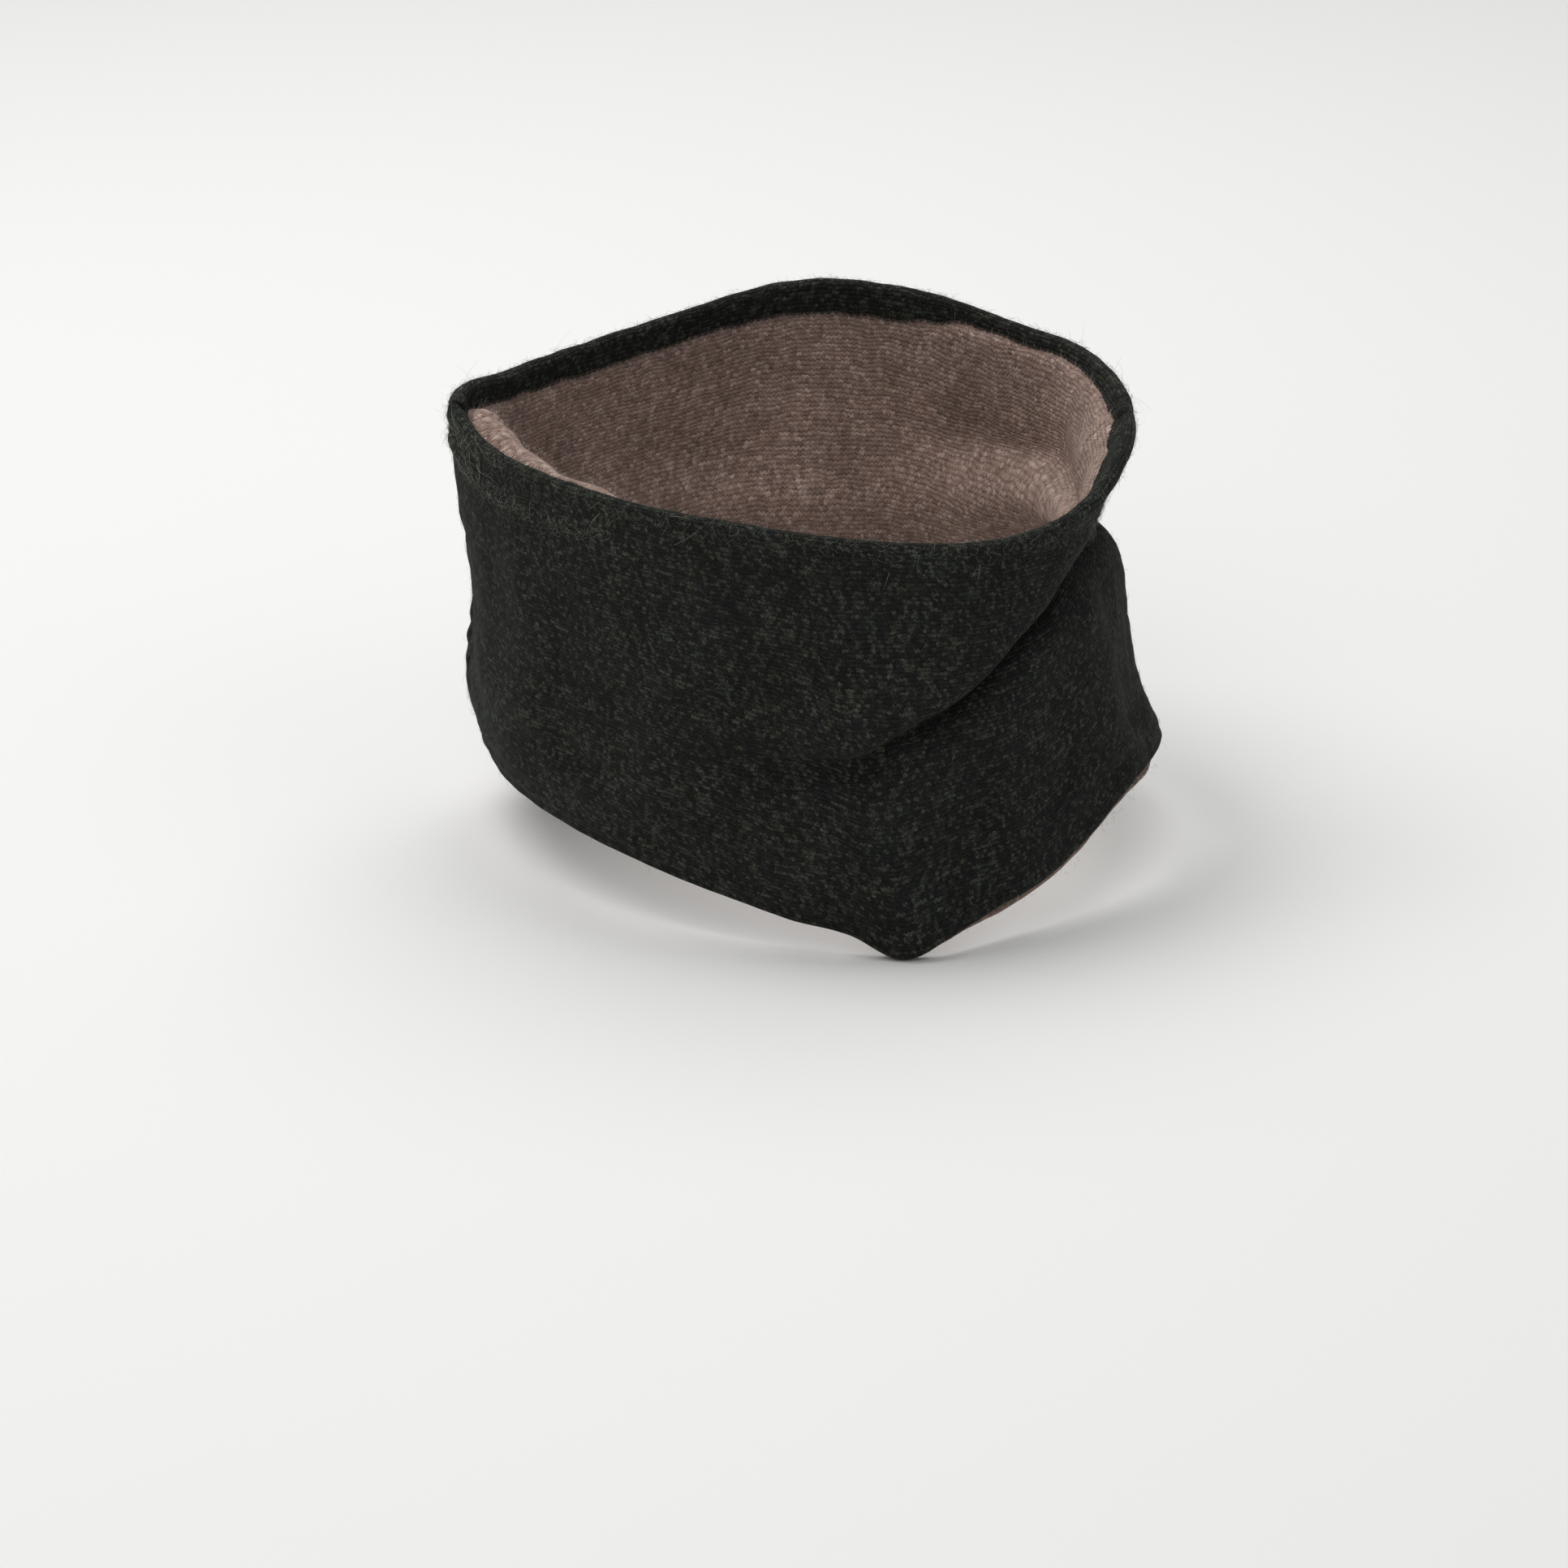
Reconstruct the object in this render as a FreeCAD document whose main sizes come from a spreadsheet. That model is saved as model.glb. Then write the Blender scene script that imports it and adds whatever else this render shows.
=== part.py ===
import FreeCAD, Part
import math, os
import Sketcher
from FreeCAD import Vector

# Neck gaiter: a tube of two fine knits worn round the neck.
# The outer knit is turned over the top edge and faced down inside; the
# lining hangs from that facing and meets the outer knit again at the hem.
# Each knit is two panels, front and back, joined down both sides.
#
# Frame: millimetres, +Z up, wearer's front towards -Y, origin on the neck
# axis near the level of the lowest point of the hem. Left (-X) and right (+X)
# are as seen by someone facing the wearer.
#
# A place in the cloth is given by its angle round the tube, its drop (length
# of cloth below the top roll) and its depth in from the outer face.

doc = FreeCAD.newDocument("neck_gaiter")

# ---------------------------------------------------------------- dimensions
sheet = doc.addObject("Spreadsheet::Sheet", "Dimensions")
DIMENSIONS = [
    ("knit_thick", "2.1"),        # one layer of knit
    ("layer_space", "0.5"),       # air between the outer knit and the lining
    ("seam_half", "0.8"),         # half of the groove between two panels
    ("thread_wide", "0.7"),       # seaming yarn
    ("hem_thread_up", "1.3"),     # closing seam above the hem edge
    ("hem_spread", "0.55"),       # each layer thins by this over the closing seam
    ("crease_share", "0.85"),     # depth of the slouch fold
    ("label_wide", "16"),
    ("label_tall", "30"),
    ("label_thick", "0.4"),
    ("label_drop", "42"),         # label centre above the hem, along the lining
    ("label_clear", "3.0"),       # label centre off the lining
    ("scale_plan", "1"),          # widths of the drape
    ("scale_rise", "1"),          # heights of the drape
]
for row, (alias, value) in enumerate(DIMENSIONS, start=1):
    sheet.set("A%d" % row, alias.replace("_", " "))
    sheet.set("B%d" % row, value)
    sheet.setAlias("B%d" % row, alias)
doc.recompute()


def dim(name):
    return float(sheet.get(name))


KNIT = dim("knit_thick")
LINING_FACE = KNIT + dim("layer_space")   # depth of the lining's wall side
THICK = LINING_FACE + KNIT                # both knits and the air between
ROLL = THICK / 2                          # radius of the top roll
SEAM_HALF = dim("seam_half")
HEM_SPREAD = dim("hem_spread")
CREASE = dim("crease_share")
SCALE_PLAN = dim("scale_plan")
SCALE_RISE = dim("scale_rise")

# Directions that point out of the wall in plan follow an oval of this shape
OVAL_X, OVAL_Y = 84, 100

# Pole counts of the panels and point counts of the yarns
PANEL_COLUMNS = 57
OUTER_ROWS, ROLL_ROWS, FACING_ROWS = 60, 6, 5
LINING_ROWS = 64
SIDE_YARN_POINTS, LOOP_YARN_POINTS = 56, 61

# Ends of the yarns
OUTER_YARN_TOP = 2.5       # side yarn starts this far below the top roll
LINING_YARN_TOP = 3.0      # and this far below the facing
SIDE_YARN_FOOT = 3.5       # side yarns stop this far above the hem
LOOP_YARN_GAP = 0.45       # degrees left at each end of half a loop

# Care label
LABEL_ANGLE = 353.6
LABEL_REACH = 13           # mm up and down the lining used to find its slope
LABEL_SWING = 4            # degrees each way used to find its sideways direction


# ------------------------------------------------------------- interpolation
def bracket(knots, x):
    """index of the span of a rising list that holds x, and the share along it"""
    low, high = 0, len(knots) - 1
    while high - low > 1:
        middle = (low + high) // 2
        if knots[middle] <= x:
            low = middle
        else:
            high = middle
    return low, (x - knots[low]) / (knots[high] - knots[low])


def lookup(knots, values, x):
    """straight-line interpolation"""
    i, share = bracket(knots, x)
    return values[i] * (1 - share) + values[i + 1] * share


def soft_step(x):
    """0 to 1 with level ends"""
    x = max(0.0, min(1.0, x))
    return x * x * (3 - 2 * x)


def solve(system):
    """linear equations, each a list of factors ending in the right-hand side"""
    count = len(system)
    for c in range(count):
        pivot = max(range(c, count), key=lambda r: abs(system[r][c]))
        system[c], system[pivot] = system[pivot], system[c]
        for r in range(c + 1, count):
            factor = system[r][c] / system[c][c]
            if factor:
                for k in range(c, count + 1):
                    system[r][k] -= factor * system[c][k]
    result = [0.0] * count
    for r in range(count - 1, -1, -1):
        known = sum(system[r][k] * result[k] for k in range(r + 1, count))
        result[r] = (system[r][count] - known) / system[r][r]
    return result


def spline_bends(values, spans, closed):
    """second derivatives of a cubic spline at its knots, zero at open ends"""
    count = len(values)
    system = []
    for i in range(count):
        line = [0.0] * (count + 1)
        if closed or 0 < i < count - 1:
            ahead = (i + 1) % count
            line[(i - 1) % count] = spans[i - 1]
            line[i] = 2 * (spans[i - 1] + spans[i])
            line[ahead] = spans[i]
            line[count] = 6 * ((values[ahead] - values[i]) / spans[i]
                               - (values[i] - values[i - 1]) / spans[i - 1])
        else:
            line[i] = 1.0
        system.append(line)
    return solve(system)


def spline_value(values, bends, i, j, share, span):
    """cubic spline between knots i and j"""
    rest = 1 - share
    bend = (rest ** 3 - rest) * bends[i] + (share ** 3 - share) * bends[j]
    return rest * values[i] + share * values[j] + bend * span * span / 6


def closed_spline(table, column=1):
    """spline round the tube through one column of a table led by angles"""
    knots = [float(row[0]) for row in table]
    values = [float(row[column]) for row in table]
    knots.append(knots[0] + 360)
    spans = [b - a for a, b in zip(knots, knots[1:])]
    bends = spline_bends(values, spans, closed=True)

    def value(angle):
        i, share = bracket(knots, (angle - knots[0]) % 360 + knots[0])
        return spline_value(values, bends, i, (i + 1) % len(values), share, spans[i])
    return value


def smooth_steps(table, column=1):
    """smooth steps round the tube through one column of a table, no overshoot"""
    rows = [(float(row[0]), float(row[column])) for row in table]
    knots = [rows[-1][0] - 360] + [row[0] for row in rows] + [rows[0][0] + 360]
    values = [rows[-1][1]] + [row[1] for row in rows] + [rows[0][1]]

    def value(angle):
        i, share = bracket(knots, angle % 360.0)
        share = soft_step(share)
        return values[i] * (1 - share) + values[i + 1] * share
    return value


# -------------------------------------------------------------- drape tables
# Every table runs round the tube: angle 0 is the left side seam, 90 the
# front, 180 the right side seam and 270 the back.

# Angle, then the middle of the cloth at the top roll (x, y, z) and at the
# hem (x, y, z)
STATIONS = [
    (0, -106.5, -2, 134.6, -97.3, 3, 23.6),
    (8, -102.5, -14, 130.6, -94.43, -11.66, 24.1),
    (16, -96.16, -25.35, 127.76, -89.18, -27.94, 24.35),
    (25, -88, -36.42, 126.62, -79.81, -43.66, 23.36),
    (35, -77.67, -47.35, 125.98, -66.73, -59.02, 21.59),
    (45, -66, -57, 125.3, -52, -72.5, 19.66),
    (55, -52.97, -64.72, 124.08, -35.86, -82.84, 16.55),
    (65, -38.78, -70.99, 123.09, -19.09, -90.66, 13.07),
    (75, -24, -76, 122.23, -2, -97, 9.66),
    (83, -12.23, -78.87, 121.25, 12.06, -101.41, 7.02),
    (88, -4.92, -80.12, 120.59, 20.95, -103.44, 2.31),
    (92, 0.92, -80.81, 120.07, 28, -104.3, 1.91),
    (96, 6.77, -81.23, 119.49, 34.28, -103.07, 4.3),
    (101, 14.1, -81.31, 118.71, 41.04, -99.01, 6.8),
    (110, 27.41, -80.11, 117.39, 52.09, -90.3, 9.11),
    (120, 42, -76.5, 115.79, 64, -81, 12.56),
    (130, 55.68, -70.23, 115.32, 75.23, -69.49, 17.83),
    (140, 67.89, -61.01, 115.86, 85.48, -56.24, 24.66),
    (150, 78, -49, 118.19, 94, -42.5, 29.42),
    (158, 84.11, -37.68, 121.19, 98.84, -31.57, 30.1),
    (166, 88.45, -24.8, 125.06, 101.76, -19.34, 30.82),
    (174, 91, -10.63, 128.06, 102.71, -5.03, 31.08),
    (182, 91.53, 3.41, 129.83, 101.48, 9.55, 30.4),
    (190, 89.93, 16.35, 131.63, 98.06, 23.03, 29.36),
    (200, 85.44, 31.4, 133.95, 91.34, 38.73, 27.77),
    (210, 78.6, 45, 135.57, 82, 53, 26.1),
    (220, 69.51, 56.27, 136.21, 69.82, 64.92, 24.68),
    (232, 55.16, 66.67, 138.62, 53, 76.14, 23.45),
    (244, 38.23, 74.27, 142.58, 34.77, 83.42, 22.7),
    (256, 20.5, 79.3, 145.19, 15.35, 86.65, 22.39),
    (268, 2.16, 81.05, 145.88, -4.65, 86.82, 22.53),
    (280, -17.09, 79.27, 144.07, -24.69, 83.18, 23.11),
    (292, -35.55, 74.08, 139.58, -44.52, 75.71, 23.78),
    (304, -52.55, 66.05, 136.24, -62.77, 65.21, 24.41),
    (316, -68.23, 55.52, 133.93, -78.19, 50.51, 24.81),
    (328, -81.91, 42.4, 133.09, -90.45, 31.62, 24.65),
    (340, -93.66, 27.26, 133.09, -97.19, 20.16, 24.31),
    (350, -101.95, 13.46, 134.95, -98.68, 13.71, 23.82),
]
TOP_CURVES = [closed_spline(STATIONS, column) for column in (1, 2, 3)]
HEM_CURVES = [closed_spline(STATIONS, column) for column in (4, 5, 6)]

# Angle, then bulge of the wall off the straight line from top to hem in mm,
# at 0.2, 0.4, 0.6 and 0.8 of the way down
BULGE = [
    (0, 0.2, -0.8, 0.4, 3.6), (20, 0.6, 0.4, 1, 1.8), (40, 1.8, 2.4, 2.4, 1.2),
    (60, 3, 4.4, 3.8, 1.6), (80, 4, 5.6, 4.4, 2), (100, 3.6, 4.6, 3.2, 1.5),
    (115, 2, 1.8, 1.2, 0.8), (130, -1.5, -1.5, -1.6, -0.6), (145, -7.5, -4.8, -4, -2),
    (158, -12.4, -8, -5.6, -4), (172, -13.8, -8.8, -6.4, -5.4),
    (186, -12.4, -8.4, -6.6, -5.2), (200, -8.5, -6.8, -6, -4), (225, -3, -5, -5, -2.5),
    (250, -1.5, -4.5, -4.5, -1.5), (275, -1, -4.5, -3.5, -0.5), (300, -1, -3.5, -2, 1.5),
    (325, -0.5, -2, 0.4, 2.8), (345, 0, -1.2, 0.8, 3.8),
]
BULGE_STEP = 0.2
BULGE_CURVES = [closed_spline(BULGE, column) for column in (1, 2, 3, 4)]

# Slouch fold that runs from the right side down across the front:
# angle, share of the way down, strength
FOLD = [
    (40, 0.6, 0), (52, 0.6, 0), (62, 0.62, 0.05), (70, 0.607, 0.2), (76, 0.59, 0.4),
    (84, 0.552, 0.62), (93.3, 0.505, 0.82), (101.2, 0.465, 0.95), (109.2, 0.43, 1),
    (117, 0.376, 1), (122.5, 0.335, 1), (128, 0.296, 1), (134.4, 0.26, 1), (140, 0.23, 1),
    (146, 0.212, 1), (153, 0.218, 1), (160, 0.242, 1), (168, 0.276, 1), (180, 0.318, 1),
    (195, 0.355, 0.85), (210, 0.38, 0.6), (225, 0.4, 0.35), (240, 0.42, 0.12),
    (252, 0.43, 0), (300, 0.5, 0),
]
fold_share = closed_spline(FOLD, column=1)
fold_strength = smooth_steps(FOLD, column=2)

# Softer hollows (-) and swells (+): (angle, share of the way down) pairs,
# (angle, depth in mm) pairs, half width in mm
WAVES = [
    ([(35, 0.62), (44, 0.587), (52.4, 0.54), (61, 0.486), (68.6, 0.437), (76, 0.388),
      (83.4, 0.342), (91, 0.3), (98.4, 0.281), (115, 0.27)],
     [(34, 0), (48, -1.3), (62, -2.6), (78, -2.8), (92, -1.9), (101, -0.7), (110, 0)], 8),
    ([(0, 0.69), (14.5, 0.683), (27.7, 0.668), (37.2, 0.685), (44.9, 0.728), (60, 0.76)],
     [(2, 0), (14, 1.0), (30, 1.5), (44, 1.3), (60, 0)], 7),
    ([(120, 0.755), (129, 0.763), (139.4, 0.78), (157.4, 0.82), (172, 0.84)],
     [(120, 0), (131, -1.0), (142, -1.6), (158, -1.4), (174, 0)], 4.5),
    ([(128, 0.85), (137.3, 0.863), (146.3, 0.904), (157.5, 0.94), (172, 0.96)],
     [(131, 0), (141, -1.0), (150, -1.4), (160, -1.2), (174, 0)], 3.5),
    ([(225, 0.6), (250, 0.6), (270, 0.57), (290, 0.53), (310, 0.5), (335, 0.47)],
     [(222, 0), (245, -1.8), (265, -3.4), (288, -3.6), (308, -2.4), (332, 0)], 11),
    ([(225, 0.78), (250, 0.77), (270, 0.76), (290, 0.72), (310, 0.68)],
     [(228, 0), (250, 1.6), (272, 2.4), (295, 1.8), (318, 0)], 10),
]
WAVE_CURVES = [(closed_spline(path), smooth_steps(depths), half_width)
               for path, depths, half_width in WAVES]

# Angle, depth of the turned-in facing below the top roll
facing_at = smooth_steps([
    (0, 5.5), (20, 4.5), (45, 4.2), (90, 4.2), (135, 4.4), (160, 5.5), (180, 6.0),
    (192, 5.0), (212, 2.4), (234, 2.4), (252, 5.8), (270, 6.2), (300, 5.5), (330, 5.0),
    (345, 5.0)])
# Slack of the lining just below the facing: angle, mm in from the wall
slack_at = smooth_steps([
    (0, 3.0), (8, 5.5), (20, 7.5), (35, 7.5), (50, 6.5), (65, 4.5), (85, 2.6), (105, 1.4),
    (125, 0.5), (150, 0.0), (195, 0.0), (212, 1.2), (232, 1.2), (248, 0.0), (300, 0.0),
    (335, 0.2), (350, 1.0)])
# The same slack: angle, mm up
lift_at = smooth_steps([
    (0, 0.8), (8, 1.8), (20, 2.6), (40, 2.4), (55, 2.0), (70, 1.6), (90, 1.0), (115, 0.5),
    (140, 0.0), (335, 0.0), (350, 0.3)])
# Fullness of the lining lower down, where it gathers: angle, mm in
ledge_at = smooth_steps([
    (0, 3.0), (20, 1.2), (50, 0.0), (164, 0.0), (182, 1.6), (200, 5.0), (222, 7.5),
    (245, 5.0), (270, 3.6), (300, 5.8), (322, 8.0), (340, 6.5)])
# Where that fullness is reached: angle, share of the way down
ledge_share = smooth_steps([
    (0, 0.60), (60, 0.60), (160, 0.58), (200, 0.55), (225, 0.54), (250, 0.56), (280, 0.57),
    (310, 0.56), (335, 0.58)])


# ------------------------------------------------------------ the outer face
def fold_path(strength):
    """side view of the slouch fold: distances down and out, crease at 0"""
    turn = 6.4 + (1 - strength) * 9.0     # cloth that turns round the crease
    lip = 12.0 + (1 - strength) * 3.0     # rounded lip above it
    tuck = 1.04 * strength                # straight run in to the crease
    tail = 9.0                            # easing back to the wall below
    rise, inward, outward = 12.0, -68.0, 46.0     # slopes in degrees
    lip_top = -turn / 2 - tuck - lip

    def trace(hold):
        """follow the cloth, with a straight run out of length hold"""
        tail_end = turn / 2 + hold + tail
        slopes = [                        # length along the cloth, slope
            (lip_top - 15, 0), (lip_top - 7, rise), (lip_top, rise * 0.5),
            (-turn / 2 - tuck, inward), (-turn / 2, inward),
            (turn / 2, outward), (turn / 2 + hold, outward),
            (tail_end, 4), (tail_end + 9, -5), (tail_end + 15, 0)]
        lengths = [row[0] for row in slopes]
        degrees = [row[1] * strength for row in slopes]
        start, total = lengths[0], lengths[-1] - lengths[0]
        count = int(total / 0.4) + 1
        step = total / count
        downs, outs, crease = [0.0], [0.0], 0.0
        for i in range(count):
            slope = math.radians(lookup(lengths, degrees, start + (i + 0.5) * step))
            here = start + i * step
            if here < 0 <= start + (i + 1) * step:
                crease = downs[-1] - math.cos(slope) * here
            downs.append(downs[-1] + math.cos(slope) * step)
            outs.append(outs[-1] + math.sin(slope) * step)
        return [down - crease for down in downs], outs

    # lengthen or shorten the run out until the path ends back on the wall
    hold = 3.0
    for _ in range(4):
        outs = trace(hold)[1]
        hold = max(0.0, hold - outs[-1] / math.sin(math.radians(outward * strength)))
    downs, outs = trace(hold)
    last = len(outs) - 1
    return downs, [out - outs[-1] * i / last for i, out in enumerate(outs)]


def make_column(angle):
    """outer face from the top roll to the hem at one angle: points and lengths"""
    top = Vector(*[curve(angle) for curve in TOP_CURVES])
    chord = Vector(*[curve(angle) for curve in HEM_CURVES]) - top
    length = chord.Length
    turn = math.radians(angle)
    outward = Vector(-math.cos(turn) * OVAL_X, -math.sin(turn) * OVAL_Y, 0)
    outward.normalize()

    bulges = [0.0] + [curve(angle) for curve in BULGE_CURVES] + [0.0]
    bends = spline_bends(bulges, [BULGE_STEP] * 5, closed=False)
    waves = [(share_at(angle), depth_at(angle), half_width)
             for share_at, depth_at, half_width in WAVE_CURVES
             if abs(depth_at(angle)) > 0.01]
    shares = [i / 240.0 for i in range(241)]
    strength = fold_strength(angle) * CREASE
    folded = strength > 0.01
    if folded:
        downs, fold_outs = fold_path(strength)
        fold_shares = [fold_share(angle) + down / length for down in downs]
        shares = sorted(set(shares + [share for share in fold_shares if 0 < share < 1]))

    points = []
    for share in shares:
        i = min(4, int(share / BULGE_STEP))
        within = (share - i * BULGE_STEP) / BULGE_STEP
        out = ROLL + spline_value(bulges, bends, i, i + 1, within, BULGE_STEP)
        for centre, depth, half_width in waves:
            away = (share - centre) * length / half_width
            out += depth * math.exp(-away ** 2) * min(1.0, share / 0.1)
        if folded and fold_shares[0] < share < fold_shares[-1]:
            fade = soft_step(share / 0.08) * soft_step((1 - share) / 0.08)
            out += lookup(fold_shares, fold_outs, share) * fade
        point = top + chord * share + outward * out
        points.append(Vector(point.x * SCALE_PLAN, point.y * SCALE_PLAN,
                             point.z * SCALE_RISE))
    lengths = [0.0]
    for a, b in zip(points, points[1:]):
        lengths.append(lengths[-1] + (b - a).Length)
    return points, lengths


COLUMNS = {}


def column_at(angle):
    key = round(angle, 4)
    if key not in COLUMNS:
        COLUMNS[key] = make_column(key)
    return COLUMNS[key]


def height(angle):
    """length of cloth from the top roll to the hem"""
    return column_at(angle)[1][-1]


def face_point(angle, drop):
    points, lengths = column_at(angle)
    i, share = bracket(lengths, max(0.0, min(lengths[-1], drop)))
    return points[i] + (points[i + 1] - points[i]) * share


def frame(angle, drop):
    """point, outward normal and downward tangent of the outer face"""
    full = height(angle)
    drop = max(0.0, min(full, drop))
    above, below = max(0.0, drop - 0.8), min(full, drop + 0.8)
    down = face_point(angle, below) - face_point(angle, above)
    share = drop / full
    after, before = angle + 0.6, angle - 0.6
    along = (face_point(after, share * height(after))
             - face_point(before, share * height(before)))
    normal = down.cross(along)
    normal.normalize()
    down.normalize()
    return face_point(angle, drop), normal, down


# ----------------------------------------------------- places in the cloth
def place(angle, drop, depth):
    """point in the cloth; a drop below 0 goes round the top roll"""
    if drop >= 0:
        point, normal, _ = frame(angle, drop)
        return point - normal * depth
    point, normal, down = frame(angle, 0.0)
    centre = point - normal * ROLL
    turn = -drop / ROLL                   # 0 outside .. pi inside
    radius = ROLL - depth
    return centre + normal * (radius * math.cos(turn)) - down * (radius * math.sin(turn))


def lining_top(angle):
    """drop of the lining's top edge, one seam groove below the facing"""
    return facing_at(angle) + 2 * SEAM_HALF


def slack(angle, drop):
    """how far the lining stands in from the wall"""
    below = drop - lining_top(angle)
    near = (slack_at(angle) * (1 - math.exp(-(max(0.0, below) / 6.0) ** 1.5))
            * (1 - soft_step((below - 12.0) / 40.0)))
    share, ledge = drop / height(angle), ledge_share(angle)
    return near + (ledge_at(angle) * soft_step((share - ledge + 0.17) / 0.17)
                   * soft_step((1.0 - share) / (0.96 - ledge)))


def lining_place(angle, drop, depth):
    """point in the lining, with its slack and lift"""
    below = drop - lining_top(angle)
    lift = (lift_at(angle) * math.exp(-((below - 6.0) / 8.0) ** 2)
            * soft_step(below / 7.0))
    return place(angle, drop, depth + slack(angle, drop)) + Vector(0, 0, lift)


def spread(angle, drop):
    """thinning of each layer over the closing seam at the hem"""
    return HEM_SPREAD * soft_step((drop - (height(angle) - 6.0)) / 3.5)


# ------------------------------------------------------------------- panels
def side_gap(angle):
    """degrees that make half a seam groove at this side"""
    one_degree = (face_point(angle + 1.0, 60.0) - face_point(angle - 1.0, 60.0)).Length / 2
    return SEAM_HALF / one_degree


def even(first, last, count):
    return [first + (last - first) * i / (count - 1.0) for i in range(count)]


def row_drops(angle, first, count):
    """drops from first to the hem, closer together in the fold, at the top
    and at the hem"""
    full = height(angle)
    crease, strength = fold_share(angle) * full, fold_strength(angle)
    samples = 300
    weights = [0.0]
    for i in range(samples):
        drop = first + (full - first) * (i + 0.5) / samples
        weights.append(weights[-1] + 1.0
                       + 1.5 * strength * math.exp(-((drop - crease) / 10.0) ** 2)
                       + 1.6 * math.exp(-((drop - first) / 4.0) ** 2)
                       + 1.0 * math.exp(-((full - drop) / 5.0) ** 2))
    drops = []
    for want in even(0.0, weights[-1], count):
        i, share = bracket(weights, want)
        drops.append(first + (full - first) * (i + share) / samples)
    return drops


def net_face(net, degree_across=3):
    """clamped spline surface drawn by a net of poles"""
    mults, knots = [], []
    for count, degree in ((len(net), 3), (len(net[0]), degree_across)):
        mults.append([degree + 1] + [1] * (count - degree - 1) + [degree + 1])
        knots.append([float(i) for i in range(count - degree + 1)])
    surface = Part.BSplineSurface()
    surface.buildFromPolesMultsKnots(net, mults[0], mults[1], knots[0], knots[1],
                                     False, False, 3, degree_across)
    return surface.toShape()


def strip_face(poles_a, poles_b):
    """edge face ruled between two equal rows of poles"""
    return net_face([[a, b] for a, b in zip(poles_a, poles_b)], degree_across=1)


def closed_solid(net_a, net_b):
    """solid between two equal nets of poles, edges closed by ruled strips"""
    faces = [net_face(net_a), net_face(net_b)]
    faces += [strip_face(net_a[end], net_b[end]) for end in (0, -1)]
    faces += [strip_face([row[end] for row in net_a], [row[end] for row in net_b])
              for end in (0, -1)]
    shape = Part.makeCompound(faces)
    shape.sewShape()
    shell = shape.Shells[0] if shape.Shells else Part.Shell(shape.Faces)
    solid = Part.Solid(shell)
    if solid.Volume < 0:
        solid.reverse()
    if not solid.isValid():
        solid.fix(1e-4, 1e-4, 1e-3)
    return solid


def panel(start, end, rows_at, put):
    """panel between two side seams; rows_at gives (drop, depth of one face,
    depth of the other) down each column and put turns them into points"""
    net_a, net_b = [], []
    for angle in even(start + side_gap(start), end - side_gap(end), PANEL_COLUMNS):
        rows = rows_at(angle)
        net_a.append([put(angle, drop, depth) for drop, depth, _ in rows])
        net_b.append([put(angle, drop, depth) for drop, _, depth in rows])
    return closed_solid(net_a, net_b)


def outer_rows(angle):
    """up the wall from the hem, round the roll and down the facing"""
    wall = [(drop, 0.0, KNIT - spread(angle, drop))
            for drop in reversed(row_drops(angle, 0.0, OUTER_ROWS))]
    roll = [(-math.pi * ROLL * i / (ROLL_ROWS + 1), 0.0, KNIT)
            for i in range(1, ROLL_ROWS + 1)]
    facing = [(drop, THICK, LINING_FACE)
              for drop in even(0.0, facing_at(angle), FACING_ROWS)]
    return wall + roll + facing


def lining_rows(angle):
    """down the lining from just below the facing to the hem"""
    return [(drop, THICK, LINING_FACE + spread(angle, drop))
            for drop in row_drops(angle, lining_top(angle), LINING_ROWS)]


# -------------------------------------------------------------------- yarns
def yarn(points):
    """round yarn along a smooth path"""
    curve = Part.BSplineCurve()
    curve.interpolate(points)
    path = Part.Wire([curve.toShape()])
    start = curve.FirstParameter
    circle = Part.Circle(curve.value(start), curve.tangent(start)[0],
                         dim("thread_wide") / 2)
    solid = path.makePipeShell([Part.Wire([circle.toShape()])], True, True)
    if solid.ShapeType != "Solid":
        solid = Part.Solid(solid.Shells[0])
    if solid.Volume < 0:
        solid.reverse()
    return solid


def side_yarn(angle, put, depth, top):
    """seam down one side, from the drop top to just above the hem"""
    drops = even(top, height(angle) - SIDE_YARN_FOOT, SIDE_YARN_POINTS)
    return yarn([put(angle, drop, depth) for drop in drops])


def outer_side_yarn(angle):
    return side_yarn(angle, place, KNIT / 2, OUTER_YARN_TOP)


def lining_side_yarn(angle):
    return side_yarn(angle, lining_place, THICK - KNIT / 2,
                     facing_at(angle) + LINING_YARN_TOP)


def loop_yarn(drop_at, depth):
    """seam round the tube, sewn in two runs that meet at the side seams"""
    runs = []
    for start in (0.0, 180.0):
        angles = even(start + LOOP_YARN_GAP, start + 180 - LOOP_YARN_GAP, LOOP_YARN_POINTS)
        runs.append(yarn([place(angle, drop_at(angle), depth) for angle in angles]))
    return Part.makeCompound(runs)


# --------------------------------------------------------------- care label
def label_placement(box_middle):
    """flat against the slope of the lining, standing off its inner side"""
    def lining_point(angle, drop):
        return lining_place(angle, drop, THICK)

    drop = height(LABEL_ANGLE) - dim("label_drop")
    down = (lining_point(LABEL_ANGLE, drop + LABEL_REACH)
            - lining_point(LABEL_ANGLE, drop - LABEL_REACH))
    down.normalize()
    side = (lining_point(LABEL_ANGLE - LABEL_SWING, drop)
            - lining_point(LABEL_ANGLE + LABEL_SWING, drop))
    side.normalize()
    normal = side.cross(down)
    normal.normalize()
    if normal.dot(frame(LABEL_ANGLE, drop)[1]) < 0:
        normal = normal * -1
    side = down.cross(normal)
    up = down * -1
    turn = FreeCAD.Rotation(side, up, side.cross(up), "ZXY")
    middle = lining_point(LABEL_ANGLE, drop) - normal * dim("label_clear")
    return FreeCAD.Placement(middle - turn.multVec(box_middle), turn)


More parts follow.
